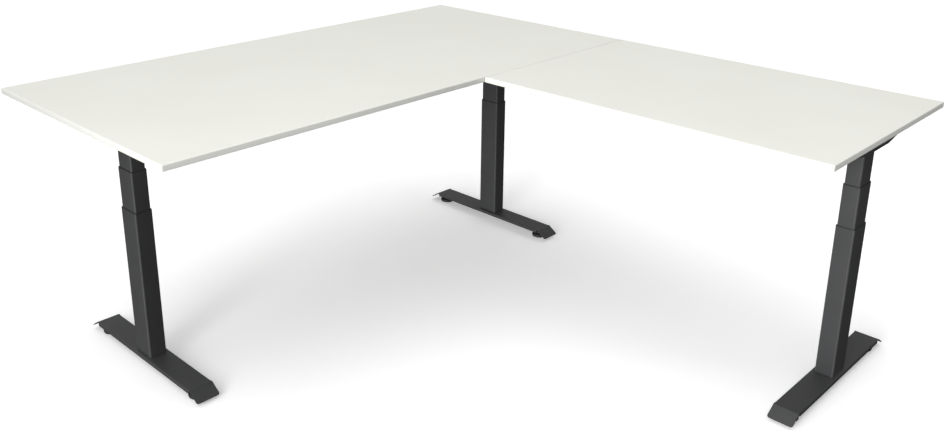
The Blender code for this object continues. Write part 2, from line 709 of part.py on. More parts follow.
def handset(case_finish, button_finish):
    """The switch under the front edge, and its two push buttons."""
    length, width, height = HANDSET_SIZE
    face = -width / 2
    centre = FIXED_TOP - height / 2
    soft = HANDSET_SOFT
    front = rounded(length - 2 * soft, height - 2 * soft, HANDSET_CORNER - soft)
    body = rounded(length, height, HANDSET_CORNER)
    at = Matrix.Translation((0, 0, centre)) @ STANDING
    bm = bmesh.new()
    skin(bm, [(body, face), (body, -face - soft), (front, -face)], at)
    made = piece("handset", bm, case_finish, None, (*HANDSET_PLACE, 0))

    wide, high = BUTTON_SIZE
    margin = BUTTON_MARGIN
    bm = bmesh.new()
    for side in (-1, 1):
        x = side * BUTTON_SPACING / 2
        block(
            bm,
            (x - wide / 2 - margin, face - PAST, centre - high / 2 - margin),
            (x + wide / 2 + margin, face + POCKET_DEPTH, centre + high / 2 + margin),
        )
    combine(made, bm, "DIFFERENCE", "pockets")

    crown = BUTTON_CROWN
    outline = rounded(wide, high, BUTTON_CORNER)
    face_outline = rounded(wide - 2 * crown, high - 2 * crown, BUTTON_CORNER - crown)
    for side, name in ((-1, "button_up"), (1, "button_down")):
        bm = bmesh.new()
        sections = [(outline, BUTTON_DEPTH), (outline, crown - BUTTON_PROUD), (face_outline, -BUTTON_PROUD)]
        skin(bm, sections, ALONG_Y)
        place = (HANDSET_PLACE[0] + side * BUTTON_SPACING / 2, HANDSET_PLACE[1] + face, centre)
        piece(name, bm, button_finish, None, place)


def smooth_run(points):
    """A smooth curve through hand-placed points, closer together where they are."""
    padded = [2 * points[0] - points[1], *points, 2 * points[-1] - points[-2]]
    run = []
    for before, start, end, after in zip(padded, padded[1:], padded[2:], padded[3:]):
        count = max(2, min(MOST_PER_SPAN, math.ceil((end - start).length / CABLE_STEP)))
        for i in range(count):
            t = i / count
            run.append(
                0.5
                * (
                    2 * start
                    + t * (end - before)
                    + t * t * (2 * before - 5 * start + 4 * end - after)
                    + t**3 * (3 * start - before - 3 * end + after)
                )
            )
    return [*run, points[-1]]


def cable(name, route, radius, finish):
    """A round cable along its route."""
    curve = bpy.data.curves.new(name, "CURVE")
    curve.dimensions = "3D"
    curve.bevel_depth = radius
    curve.bevel_resolution = 2
    curve.use_fill_caps = True
    run = smooth_run([Vector(point) for point in route])
    spline = curve.splines.new("POLY")
    spline.points.add(len(run) - 1)
    for spot, point in zip(spline.points, run):
        spot.co = (*point, 1.0)
    curve.materials.append(finish)
    made = bpy.data.objects.new(name, curve)
    bpy.context.scene.collection.objects.link(made)


def motor_end(leg, height):
    """The first stretch of a motor's cable: out of its end cap and through the bracket's wall."""
    _, place, turn, out = leg
    wall = BRACKET_WIDTH / 2
    hole_x, hole_z = CABLE_HOLE
    local = (
        (MOTOR_END + CABLE_GAP, 0.0, MOTOR_AXIS),
        (MOTOR_END + 0.006, 0.0, MOTOR_AXIS),
        (MOTOR_END + 0.016, 0.002 * out, MOTOR_AXIS + 0.005),
        (hole_x - 0.006, 0.010 * out, hole_z - 0.006),
        (hole_x, wall * out, hole_z),
        (hole_x - 0.006, (wall + 0.022) * out, height),
    )
    return [(*leg_point(place, turn, x, y), z) for x, y, z in local]


def cables(finish):
    """The motor cables lie on the rails, and the handset's runs straight back to the control box."""
    lying = RAIL_TOP + GAP + MOTOR_CABLE_RADIUS
    back = LEGS[0][1][1] + RAIL_OFFSET
    beside = LEGS[2][1][0] + RAIL_OFFSET
    box_back = BOX_PLACE[1] + BOX_SIZE[1] / 2 + CABLE_GAP
    rail_edge = back - RAIL_WIDTH / 2
    socket = FIXED_TOP - BOX_SIZE[2] / 2
    box_x = BOX_PLACE[0]

    def into_box(side, socket_x, lane):
        """From the back rail down into a socket, for a cable that comes along the rail from this side."""
        return [
            (socket_x + side * 0.130, lane, lying),
            (socket_x + side * 0.060, lane - 0.006, lying),
            (socket_x + side * 0.022, rail_edge + 0.012, lying),
            (socket_x + side * 0.008, rail_edge - 0.006, lying),
            (socket_x + side * 0.001, box_back + 0.024, socket + 0.005),
            (socket_x, box_back + 0.006, socket),
            (socket_x, box_back, socket),
        ]

    left, corner, right = LEGS
    left_lane = back + 0.004
    routes = [
        motor_end(left, lying)
        + [(left[1][0] + 0.100, left_lane, lying), (left[1][0] + 0.250, left_lane, lying)]
        + into_box(-1, box_x - 0.090, left_lane),
        motor_end(corner, lying)
        + [(corner[1][0] - 0.100, back + 0.008, lying), (corner[1][0] - 0.250, back + 0.008, lying)]
        + [(corner[1][0] - 0.600, back + 0.008, lying)]
        + into_box(1, box_x + 0.010, back + 0.008),
        motor_end(right, lying)
        + [(beside + 0.006, right[1][1] + 0.120, lying), (beside, right[1][1] + 0.300, lying)]
        + [(beside, -0.300, lying), (beside, 0.200, lying), (beside, 0.480, lying)]
        + [(beside - 0.006, 0.640, lying), (beside - 0.050, 0.716, lying)]
        + [(beside - 0.130, back - 0.004, lying), (0.300, back - 0.004, lying)]
        + into_box(1, box_x + 0.100, back - 0.004),
    ]
    for leg, route in zip(LEGS, routes):
        cable(f"{leg[0]}_motor_cable", route, MOTOR_CABLE_RADIUS, finish)

    leave = HANDSET_PLACE[1] + HANDSET_SIZE[1] / 2 + CABLE_GAP
    arrive = BOX_PLACE[1] - BOX_SIZE[1] / 2 - CABLE_GAP
    height = RAIL_TOP + GAP + HANDSET_CABLE_RADIUS
    route = [
        (HANDSET_PLACE[0], leave, FIXED_TOP - HANDSET_SIZE[2] / 2),
        (HANDSET_PLACE[0], leave + 0.005, FIXED_TOP - HANDSET_SIZE[2] / 2),
        (HANDSET_PLACE[0], leave + 0.024, height - 0.0005),
        (HANDSET_PLACE[0] + 0.010, leave + 0.080, height),
        (HANDSET_PLACE[0] + 0.055, arrive - 0.090, height),
        (HANDSET_PLACE[0] + 0.067, arrive - 0.046, height),
        (HANDSET_PLACE[0] + 0.071, arrive - 0.020, socket + 0.003),
        (HANDSET_PLACE[0] + 0.071, arrive - 0.005, socket),
        (HANDSET_PLACE[0] + 0.071, arrive, socket),
    ]
    cable("handset_cable", route, HANDSET_CABLE_RADIUS, finish)


def main():
    for old in list(bpy.data.objects):
        bpy.data.objects.remove(old, do_unlink=True)

    coat = material("anthracite_coat", (0.040, 0.041, 0.044), 0.55)
    board = material("white_board", (0.87, 0.87, 0.84), 0.45)
    band = material("white_band", (0.87, 0.87, 0.84), 0.40)
    plastic = material("black_plastic", (0.020, 0.020, 0.021), 0.50)
    steel = material("zinc_steel", (0.55, 0.56, 0.58), 0.35, 1.0)
    cast = material("cast_metal", (0.30, 0.31, 0.32), 0.50, 1.0)
    motor_paint = material("motor_paint", (0.030, 0.030, 0.032), 0.45)
    case = material("dark_case", (0.028, 0.028, 0.030), 0.55)
    sheath = material("cable_sheath", (0.015, 0.015, 0.016), 0.60)

    for leg in LEGS:
        side, place, turn, out = leg
        frame = empty(f"{side}_leg", place, turn)
        foot(side, coat, frame)
        levellers(side, plastic, frame)
        column(side, (coat, plastic, steel), frame)
        drive(side, (cast, motor_paint), frame)
        side_bracket(side, out, coat, frame)

    for name, start, end, side_holes in rail_places():
        rail(name, start, end, coat, side_holes)

    half = GAP / 2
    main_board = ((-MAIN_LENGTH / 2, SEAM + half), (MAIN_LENGTH / 2, MAIN_BACK))
    return_board = ((MAIN_LENGTH / 2 - RETURN_WIDTH, SEAM - RETURN_LENGTH), (MAIN_LENGTH / 2, SEAM - half))
    worktop("main_top", *main_board, board)
    worktop("return_top", *return_board, board)
    edge_band("main_edge_band", *main_board, band)
    edge_band("return_edge_band", *return_board, band)
    joining_plate(steel)
    control_box(case)
    handset(case, plastic)
    cables(sheath)


main()
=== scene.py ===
"""The looks of the three-legged sit-stand desk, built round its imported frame.

Metres, +Z up. Everything on a leg is drawn in that leg's own frame: x along the foot with the motor at +x, y
across it, z up the column's axis.
"""

import math

import bmesh
import bpy
from mathutils import Matrix, Vector


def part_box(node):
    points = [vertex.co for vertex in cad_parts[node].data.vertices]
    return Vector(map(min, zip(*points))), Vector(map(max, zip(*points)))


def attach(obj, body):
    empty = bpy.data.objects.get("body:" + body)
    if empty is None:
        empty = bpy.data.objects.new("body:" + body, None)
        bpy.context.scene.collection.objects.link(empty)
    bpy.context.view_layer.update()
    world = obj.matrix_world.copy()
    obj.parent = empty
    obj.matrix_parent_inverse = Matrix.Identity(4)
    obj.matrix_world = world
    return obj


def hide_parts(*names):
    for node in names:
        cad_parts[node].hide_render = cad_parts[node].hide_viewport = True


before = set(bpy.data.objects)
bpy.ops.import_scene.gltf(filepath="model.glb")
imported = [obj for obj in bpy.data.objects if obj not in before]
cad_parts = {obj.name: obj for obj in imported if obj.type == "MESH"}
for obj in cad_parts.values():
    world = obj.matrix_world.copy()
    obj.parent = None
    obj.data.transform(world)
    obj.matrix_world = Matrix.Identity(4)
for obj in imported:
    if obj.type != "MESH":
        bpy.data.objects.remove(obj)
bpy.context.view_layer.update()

SIDES = ("left", "corner", "right")
# Marks the column tubes' rounded corners for a lighter tone: a painted highlight along each corner, with some
# wear.
WORN_AND_HIGHLIT = "worn_and_highlit"
# Marks the band's wall inside the open joint between the tops, painted near-black: painted shade in the gap,
# with some dust.
DUST_AND_SHADE = "dust_and_shade"

# Sheet and tube stock that the frame's boxes don't give
TUBE_WALL = 0.0015
TUBE_RADIUS = 0.005
FOOT_SHEET = 0.003
FOOT_BEND_RADIUS = 0.003
FLANGE_HALF_LENGTH = 0.287
FLANGE_DEPTH = 0.0125
FLAP_RUN = 0.040
FLAP_DROP = 0.026
FLAP_CORNER = 0.007
FLAP_BEND_RADIUS = 0.009
BRACKET_SHEET = 0.003
BRACKET_FLAT = (-0.050, 0.120)
BRACKET_SCREWS = (-0.280, -0.100, 0.220, 0.290)
RAIL_SHEET = 0.002
RAIL_END_PLATE = 0.0025
BASE_SCREWS = ((-0.030, -0.016), (0.030, -0.016), (0.030, 0.016), (-0.030, 0.016))
CABLE_HOLE = (0.185, 0.826)
BAND_THICKNESS = 0.002
OPEN_JOINT = 0.0015
GLIDE_CHAMFER = 0.0007
GLIDE_LIP = 0.002
HEAD_PLATE = 0.003
GAP = 0.0003
STAGE_STEP = 0.0028
BITE = 0.0001

FLOOR_GLOW = 0.28
SKY_LOBES = (
    ((-1.0, 0.0, 0.0), 2.0, 1.10),
    ((0.0, 0.0, 1.0), 2.0, 0.92),
    ((0.41, 0.735, 0.544), 6.0, 0.13),
    ((-0.1, 0.2, 1.0), 10.0, 1.46),
    ((0.70, 0.70, 0.15), 1.5, 0.16),
)
SOFTBOXES = (
    ("key", (-4.3, -1.5, 1.5), (0.6, -1.0, 0.45), (1.6, 1.6), 21.0, 70),
    ("fill", (-4.3, -1.5, 2.6), (0.0, 0.0, 0.6), (2.5, 2.0), 54.0),
    ("front", (2.2, -4.8, 0.9), (1.3, -1.0, 0.75), (1.4, 0.9), 9.0, 90),
)

ALONG_X = Matrix.Rotation(math.radians(90), 4, "Y")
ALONG_Y = Matrix.Rotation(math.radians(-90), 4, "X")
STANDING = Matrix.Rotation(math.radians(90), 4, "X")
UPSIDE_DOWN = Matrix.Rotation(math.radians(180), 4, "X")


# Materials


class Finish:
    """A material under construction: its nodes, its shader, and coordinates in metres."""

    def __init__(self, name, colour, roughness, metallic=0.0):
        self.material = bpy.data.materials.new(name)
        self.material.use_nodes = True
        self.nodes = self.material.node_tree.nodes
        self.links = self.material.node_tree.links
        self.shader = self.nodes["Principled BSDF"]
        self.shader.inputs["Base Color"].default_value = (*colour, 1.0)
        self.shader.inputs["Roughness"].default_value = roughness
        self.shader.inputs["Metallic"].default_value = metallic
        self.material.diffuse_color = (*colour, 1.0)
        self.place = self.nodes.new("ShaderNodeTexCoord").outputs["Object"]
        self.height = None

    def noise(self, scale, detail=3.0, roughness=0.55, stretch=None):
        made = self.nodes.new("ShaderNodeTexNoise")
        made.inputs["Scale"].default_value = scale
        made.inputs["Detail"].default_value = detail
        made.inputs["Roughness"].default_value = roughness
        source = self.place
        if stretch:
            mapping = self.nodes.new("ShaderNodeMapping")
            mapping.inputs["Scale"].default_value = stretch
            self.links.new(source, mapping.inputs["Vector"])
            source = mapping.outputs["Vector"]
        self.links.new(source, made.inputs["Vector"])
        return made.outputs["Fac"]

    def cells(self, scale):
        made = self.nodes.new("ShaderNodeTexVoronoi")
        made.inputs["Scale"].default_value = scale
        self.links.new(self.place, made.inputs["Vector"])
        return made.outputs["Distance"]

    def bands(self, scale, distortion=0.0):
        made = self.nodes.new("ShaderNodeTexWave")
        made.bands_direction = "Z"
        made.inputs["Scale"].default_value = scale
        made.inputs["Distortion"].default_value = distortion
        self.links.new(self.place, made.inputs["Vector"])
        return made.outputs["Fac"]

    def marked(self, attribute, most):
        """How strongly a marked surface takes its tone, patchily along it, from 0 up to most: a painted
        highlight with wear on the tube corners, painted shade with dust in the joint.
        """
        marks = self.nodes.new("ShaderNodeAttribute")
        marks.attribute_name = attribute
        made = self.nodes.new("ShaderNodeMath")
        made.operation = "MULTIPLY"
        self.links.new(marks.outputs["Fac"], made.inputs[0])
        patches = self.mapped(self.noise(22.0, 4.0, 0.6), 0.30, 0.60, 0.5 * most, most)
        self.links.new(patches, made.inputs[1])
        return made.outputs[0]

    def mapped(self, value, low, high, to_low=0.0, to_high=1.0):
        made = self.nodes.new("ShaderNodeMapRange")
        for name, number in (("From Min", low), ("From Max", high), ("To Min", to_low), ("To Max", to_high)):
            made.inputs[name].default_value = number
        self.links.new(value, made.inputs["Value"])
        return made.outputs["Result"]

    def colour(self, value, dark, light):
        """Colour that runs from dark to light with a value."""
        made = self.nodes.new("ShaderNodeMix")
        made.data_type = "RGBA"
        made.inputs["A"].default_value = (*dark, 1.0)
        made.inputs["B"].default_value = (*light, 1.0)
        self.links.new(value, made.inputs["Factor"])
        self.links.new(made.outputs["Result"], self.shader.inputs["Base Color"])
        return made

    def clouded(self, cloud, low, high, dark, light):
        """Two tones in soft patches, from a noise's scale and detail."""
        return self.colour(self.mapped(self.noise(*cloud), low, high), dark, light)

    def tint(self, mix, value, colour):
        """A further colour laid over an earlier mix where a value is high."""
        made = self.colour(value, colour, colour)
        self.links.new(mix.outputs["Result"], made.inputs["A"])
        return made

    def rough(self, value, low, high):
        self.links.new(self.mapped(value, 0.3, 0.7, low, high), self.shader.inputs["Roughness"])

    def bump(self, value, depth):
        """Raises the surface by a value times a depth in metres, on top of any earlier bump."""
        made = self.nodes.new("ShaderNodeBump")
        made.inputs["Distance"].default_value = depth
        self.links.new(value, made.inputs["Height"])
        if self.height:
            self.links.new(self.height, made.inputs["Normal"])
        self.height = made.outputs["Normal"]
        self.links.new(self.height, self.shader.inputs["Normal"])

    def set(self, name, value):
        self.shader.inputs[name].default_value = value


def board_finish():
    """White melamine facing: a warm white, faintly clouded, with a fine pearl texture."""
    made = Finish("white_melamine", (0.87, 0.87, 0.81), 0.42)
    made.clouded((2.2, 2.0), 0.35, 0.65, (0.860, 0.860, 0.800), (0.880, 0.880, 0.822))
    pearl = made.noise(900.0, 3.0, 0.6)
    made.rough(pearl, 0.36, 0.50)
    made.bump(pearl, 0.00006)
    made.bump(made.noise(14.0, 1.0), 0.00010)
    return made.material


def band_finish():
    """White ABS edging: smoother than the board, with the faint drag lines of the trimmer along it."""
    made = Finish("white_edging", (0.87, 0.87, 0.82), 0.36)
    mix = made.clouded((6.0, 2.0), 0.35, 0.65, (0.855, 0.855, 0.805), (0.880, 0.880, 0.832))
    # Painted shade with some dust: a near-black tone on the band where the joint is marked.
    made.tint(mix, made.marked(DUST_AND_SHADE, 1.0), (0.10, 0.098, 0.090))
    made.rough(made.noise(500.0, 2.0), 0.30, 0.44)
    made.bump(made.noise(1.0, 2.0, 0.5, (30.0, 30.0, 1400.0)), 0.00003)
    return made.material


def coat_finish(name, worn_and_highlit=0.0):
    """Anthracite powder coat: fine sand, faint clouds, and a lighter tone where it is marked: a painted
    highlight, with some wear.
    """
    made = Finish(name, (0.032, 0.0325, 0.0340), 0.50)
    made.set("Specular IOR Level", 0.55)
    grain = made.noise(1100.0, 4.0, 0.65)
    mix = made.clouded((9.0, 3.0), 0.30, 0.70, (0.0350, 0.0356, 0.0370), (0.0410, 0.0417, 0.0434))
    specks = made.mapped(made.cells(750.0), 0.02, 0.22, 0.35, 0.0)
    mix = made.tint(mix, specks, (0.056, 0.057, 0.059))
    # A painted highlight on the marked corners, with some wear: a lighter tone laid over the coat.
    if worn_and_highlit:
        made.tint(mix, made.marked(WORN_AND_HIGHLIT, worn_and_highlit), (0.105, 0.107, 0.110))
    made.rough(grain, 0.44, 0.58)
    made.bump(made.cells(620.0), 0.00010)
    made.bump(grain, 0.00006)
    return made.material


def grained_finish(name, colour, roughness, cloud, tones, grain, rough, depth, metallic=0.0):
    """Soft patches of two tones, and a fine grain that changes the gloss and raises the surface."""
    made = Finish(name, colour, roughness, metallic)
    made.clouded(*cloud, *tones)
    texture = made.noise(*grain)
    made.rough(texture, *rough)
    made.bump(texture, depth)
    return made.material


def moulded_finish(name, colour, roughness, grain_scale):
    """Moulded black plastic with an eroded mould texture."""
    tones = (colour, tuple(channel * 1.35 for channel in colour))
    rough = (roughness - 0.08, roughness + 0.10)
    grain = (grain_scale, 3.0, 0.6)
    return grained_finish(name, colour, roughness, ((30.0, 3.0), 0.3, 0.7), tones, grain, rough, 0.00005)


def screw_finish():
    """Ground lifting screw: oiled steel, its thread shown as fine turns."""
    made = Finish("oiled_screw_steel", (0.42, 0.42, 0.43), 0.28, 1.0)
    oil = made.mapped(made.noise(40.0, 3.0), 0.35, 0.65)
    made.colour(oil, (0.34, 0.33, 0.31), (0.48, 0.48, 0.49))
    made.rough(oil, 0.20, 0.38)
    made.bump(made.bands(95.0), 0.0006)
    return made.material


def brass_finish():
    made = Finish("contact_metal", (0.62, 0.55, 0.38), 0.30, 1.0)
    bloom = made.mapped(made.noise(300.0, 2.0), 0.3, 0.7)
    made.colour(bloom, (0.56, 0.49, 0.33), (0.68, 0.61, 0.45))
    made.rough(bloom, 0.22, 0.38)
    return made.material


def mark_finish():
    """Pale grey print on the buttons."""
    made = Finish("button_print", (0.62, 0.62, 0.60), 0.50)
    made.clouded((900.0, 2.0), 0.3, 0.7, (0.56, 0.56, 0.54), (0.66, 0.66, 0.64))
    return made.material


def floor_finish():
    made = Finish("pale_floor", (0.90, 0.90, 0.90), 0.75)
    made.clouded((1.5, 2.0), 0.3, 0.7, (0.895, 0.895, 0.895), (0.905, 0.905, 0.905))
    made.set("Specular IOR Level", 0.1)
    made.set("Emission Color", (1.0, 1.0, 1.0, 1.0))
    made.set("Emission Strength", FLOOR_GLOW)
    return made.material


BOARD = board_finish()
BAND = band_finish()
COAT = coat_finish("anthracite_powder_coat")
# The column tubes' coat, with a painted highlight and some wear along their corners.
TUBE_COAT = coat_finish("worn_and_highlit_powder_coat", 0.5)
PLASTIC = moulded_finish("black_moulding", (0.018, 0.018, 0.019), 0.48, 1400.0)
CASE = moulded_finish("dark_case", (0.026, 0.026, 0.028), 0.50, 1000.0)
RUBBER = moulded_finish("rubber_sole", (0.014, 0.014, 0.014), 0.72, 500.0)
ZINC = grained_finish(
    "bright_zinc", (0.56, 0.57, 0.60), 0.30,
    ((60.0, 3.0), 0.35, 0.65), ((0.53, 0.55, 0.60), (0.61, 0.60, 0.56)),
    grain=(400.0, 3.0, 0.6, (1.0, 1.0, 0.15)), rough=(0.24, 0.42), depth=0.00003, metallic=1.0,
)
SCREW = screw_finish()
CAST = grained_finish(
    "die_cast_metal", (0.30, 0.31, 0.32), 0.48,
    ((45.0, 4.0), 0.3, 0.7), ((0.25, 0.26, 0.27), (0.35, 0.36, 0.37)),
    grain=(380.0, 4.0, 0.7), rough=(0.40, 0.60), depth=0.00012, metallic=1.0,
)
MOTOR = grained_finish(
    "motor_paint", (0.022, 0.022, 0.024), 0.38,
    ((25.0, 2.0), 0.3, 0.7), ((0.018, 0.018, 0.020), (0.030, 0.030, 0.032)),
    grain=(260.0, 2.0), rough=(0.30, 0.46), depth=0.00006,
)
SHEATH = grained_finish(
    "cable_sheath", (0.016, 0.016, 0.017), 0.50,
    ((50.0, 2.0), 0.3, 0.7), ((0.013, 0.013, 0.014), (0.022, 0.022, 0.023)),
    grain=(180.0, 2.0), rough=(0.42, 0.60), depth=0.00010,
)
BRASS = brass_finish()
MARK = mark_finish()


# Shapes


def moved(x, y, z):
    return Matrix.Translation((x, y, z))


def spun(degrees, axis):
    return Matrix.Rotation(math.radians(degrees), 4, axis)


def midway(low, high):
    """A move to the middle of a box, seen from above."""
    return moved((low.x + high.x) / 2, (low.y + high.y) / 2, 0)


def lengthwise(low, high):
    """The turn from X to a box's longer side."""
    size = high - low
    return spun(90 if size.y > size.x else 0, "Z")


def circle(radius, count):
    angles = [math.tau * i / count for i in range(count)]
    return [(radius * math.cos(angle), radius * math.sin(angle)) for angle in angles]


def quarter_turn(steps):
    """The cosine and sine of each angle on the way from 0 to 90 degrees."""
    angles = [math.radians(90) * i / steps for i in range(steps + 1)]
    return [(math.cos(angle), math.sin(angle)) for angle in angles]


def rounded(length, width, radius, steps=8):
    """The points of a rectangle about the origin, its corners rounded."""
    points = []
    for quarter, (side_x, side_y) in enumerate(((1, 1), (-1, 1), (-1, -1), (1, -1))):
        centre = Vector((side_x * (length / 2 - radius), side_y * (width / 2 - radius)))
        for i in range(steps + 1):
            angle = math.radians(90) * (quarter + i / steps)
            points.append(tuple(centre + radius * Vector((math.cos(angle), math.sin(angle)))))
    return points


def shrunk(length, width, radius, amount):
    """A rounded rectangle's outline, drawn in by an amount all round."""
    return rounded(length - 2 * amount, width - 2 * amount, radius - amount)


def eased_below(outline, soft, low, steps=6):
    """Sections up a rounded lower edge. The outline is a function of how far it is drawn in."""
    return [(outline(soft * (1 - s)), low + soft * (1 - c)) for c, s in quarter_turn(steps)]


def eased_above(outline, soft, high, steps=6):
    """The same up a rounded upper edge."""
    return [(outline(soft * (1 - c)), high - soft * (1 - s)) for c, s in quarter_turn(steps)]


def skin(bm, sections, at=None, ring=False):
    """A closed solid over sections, each (outline, height), all with as many points.

    A ring joins its last section to its first.
    """
    place = at or Matrix()
    loops = []
    for outline, height in sections:
        loops.append([bm.verts.new(place @ Vector((x, y, height))) for x, y in outline])
    pairs = list(zip(loops, loops[1:]))
    if ring:
        pairs.append((loops[-1], loops[0]))
    else:
        bm.faces.new(loops[0])
        bm.faces.new(loops[-1])
    for lower, upper in pairs:
        for i in range(len(lower)):
            following = (i + 1) % len(lower)
            bm.faces.new((lower[i], lower[following], upper[following], upper[i]))


def formed(sections, at=None, ring=False):
    """The same in a bmesh of its own."""
    bm = bmesh.new()
    skin(bm, sections, at, ring)
    return bm


def turned(profile, count=48, ring=False):
    """A solid of revolution about z from (radius, height) points."""
    return formed([(circle(radius, count), height) for radius, height in profile], ring=ring)


def slab(outline, low, high, at=None):
    """A solid with one outline from a low level to a high one."""
    return formed([(outline, low), (outline, high)], at)


def block(bm, low, high, at=None):
    outline = [(low[0], low[1]), (high[0], low[1]), (high[0], high[1]), (low[0], high[1])]
    skin(bm, [(outline, low[2]), (outline, high[2])], at)


def placed(name, data):
    """A new object in the scene, with the data given."""
    made = bpy.data.objects.new(name, data)
    bpy.context.scene.collection.objects.link(made)
    return made


def shaped(name, bm, at=None):
    """A new object in the scene, with the bmesh's shape."""
    if at:
        bm.transform(at)
    mesh = bpy.data.meshes.new(name)
    bm.to_mesh(mesh)
    bm.free()
    return placed(name, mesh)


def solid(name, bm, at=None):
    """The same for a closed shape, with its faces turned outward."""
    if at:
        bm.transform(at)
    bmesh.ops.recalc_face_normals(bm, faces=bm.faces)
    return shaped(name, bm)


def crease(made, corner=30):
    """Smooth faces, with sharp edges where they turn by more than a corner's angle."""
    made.data.shade_smooth()
    made.data.set_sharp_from_angle(angle=math.radians(corner))


def finished(name, bm, material, body, nodes=(), soften=0.0, at=None, corner=35):
    """One visible piece: its mesh, its finish, its body, and the CAD nodes that it stands for."""
    made = solid(name, bm, at)
    dress(made, material, body, nodes)
    if soften:
        made.data.shade_smooth()
        bevel(made, soften, corner)
    else:
        crease(made, corner)
    return made


def dress(made, material, body, nodes=()):
    made.data.materials.append(material)
    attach(made, body)
    if nodes:
        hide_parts(*nodes)


def bevel(made, width, corner=35, segments=2):
    step = made.modifiers.new("soft_edges", "BEVEL")
    step.width = width
    step.segments = segments
    step.limit_method = "ANGLE"
    step.angle_limit = math.radians(corner)
    step.harden_normals = True
    step.use_clamp_overlap = True


def cut(target, bm, at=None):
    """Cuts a shape out of a piece and keeps the result as its mesh."""
    tool = solid("tool", bm, at)
    step = target.modifiers.new("cut", "BOOLEAN")
    step.operation = "DIFFERENCE"
    step.solver = "EXACT"
    step.object = tool
    bake(target)
    bpy.data.objects.remove(tool, do_unlink=True)


def bake(target):
    """Applies a piece's modifiers to its mesh."""
    graph = bpy.context.evaluated_depsgraph_get()
    graph.update()
    mesh = bpy.data.meshes.new_from_object(target.evaluated_get(graph))
    target.modifiers.clear()
    target.data = mesh


def folded(name, bm, place, body, node, sheet):
    """Folded sheet, from its outer skin. The skin's flat faces up, and the sheet's thickness is under it."""
    bmesh.ops.recalc_face_normals(bm, faces=bm.faces)
    if sum(face.normal.z * face.calc_area() for face in bm.faces) < 0:
        bmesh.ops.reverse_faces(bm, faces=bm.faces)
    made = shaped(name, bm, place)
    dress(made, COAT, body, (node,))
    made.data.shade_smooth()
    step = made.modifiers.new("sheet", "SOLIDIFY")
    step.thickness = sheet
    step.offset = -1
    step.use_even_offset = True
    bake(made)
    return made


def channel(bm, stations, half, top, fold):
    """The outer skin of a channel, open below, over stations along it, each (x, lower edges' height)."""
    previous = None
    bend = [(half - fold + fold * c, top - fold + fold * s) for c, s in quarter_turn(6)]
    for x, bottom in stations:
        side = [(half, bottom), *bend]
        row = [bm.verts.new((x, -y, z)) for y, z in side]
        row += [bm.verts.new((x, y, z)) for y, z in reversed(side)]
        bridge(bm, previous, row)
        previous = row


def bridge(bm, previous, row):
    """Faces between two rows of vertices, if there is an earlier row."""
    if previous:
        for i in range(len(row) - 1):
            bm.faces.new((previous[i], previous[i + 1], row[i + 1], row[i]))


def mark(made, attribute, test):
    """Marks the points of a piece that pass a test, for its finish to find."""
    marks = made.data.attributes.new(attribute, "FLOAT", "POINT")
    for vertex, spot in zip(made.data.vertices, marks.data):
        spot.value = 1.0 if test(vertex.co) else 0.0


def copies(mesh, name, places, body):
    """Pieces that share a mesh, one at each place."""
    for number, place in enumerate(places):
        made = placed(f"{name}_{number + 1}", mesh)
        made.matrix_world = place
        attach(made, body)


def taken(holder):
    """An object's mesh, without the object."""
    mesh = holder.data
    bpy.data.objects.remove(holder, do_unlink=True)
    return mesh


def pattern(name, bm, recess=None):
    """A zinc-plated mesh for repeated small parts, with an optional recess cut in it."""
    holder = solid(name, bm)
    holder.data.materials.append(ZINC)
    holder.data.shade_smooth()
    if recess:
        cut(holder, recess)
    holder.data.set_sharp_from_angle(angle=math.radians(35))
    return taken(holder)


def hexagon(across):
    return circle(across / math.sqrt(3), 6)


# Fasteners, each pointing up out of its own seat at z = 0, head below


def wood_screw():
    """A pan head with a cross recess."""
    head = [(0.0022, -0.0030), (0.0038, -0.0026), (0.0048, -0.0015), (0.0050, -0.0001)]
    screw = turned([*head, (0.0025, -0.0001), (0.0025, 0.0120), (0.0004, 0.0160)], 24)
    recess = bmesh.new()
    block(recess, (-0.0023, -0.00045, -0.004), (0.0023, 0.00045, -0.0013))
    cross = bmesh.new()
    block(cross, (-0.00045, -0.0023, -0.004), (0.00045, 0.0023, -0.00131))
    holder = placed("screw", pattern("wood_screw", screw, recess))
    cut(holder, cross)
    return taken(holder)


def socket_screw(head_radius, head_height, length):
    """A socket head with its hexagon recess."""
    shank = head_radius * 0.60
    soft = head_radius * 0.10
    head = [(head_radius - soft, -head_height), (head_radius, -head_height + soft), (head_radius, -0.0002)]
    screw = turned([*head, (shank, -0.0002), (shank, length)], 32)
    recess = slab(hexagon(head_radius * 0.92), -head_height - 0.001, -head_height * 0.45)
    return pattern("socket_screw", screw, recess)


def hexagon_bolt(across, head_height, length):
    bm = turned([(0.0030, -0.0002), (0.0030, length)], 16)
    head = hexagon(across)
    skin(bm, [(hexagon(across * 0.90), -head_height), (head, -head_height + 0.0005), (head, -0.0002)])
    return pattern("hexagon_bolt", bm)


def hexagon_nut(across, height):
    soft = hexagon(across * 0.92)
    face = hexagon(across)
    bore = circle(0.0031, 6)
    outside = [(soft, 0.0), (face, 0.0005), (face, height - 0.0005), (soft, height)]
    bm = formed([*outside, (bore, height), (bore, 0.0)], ring=True)
    return pattern("hexagon_nut", bm)


# Legs


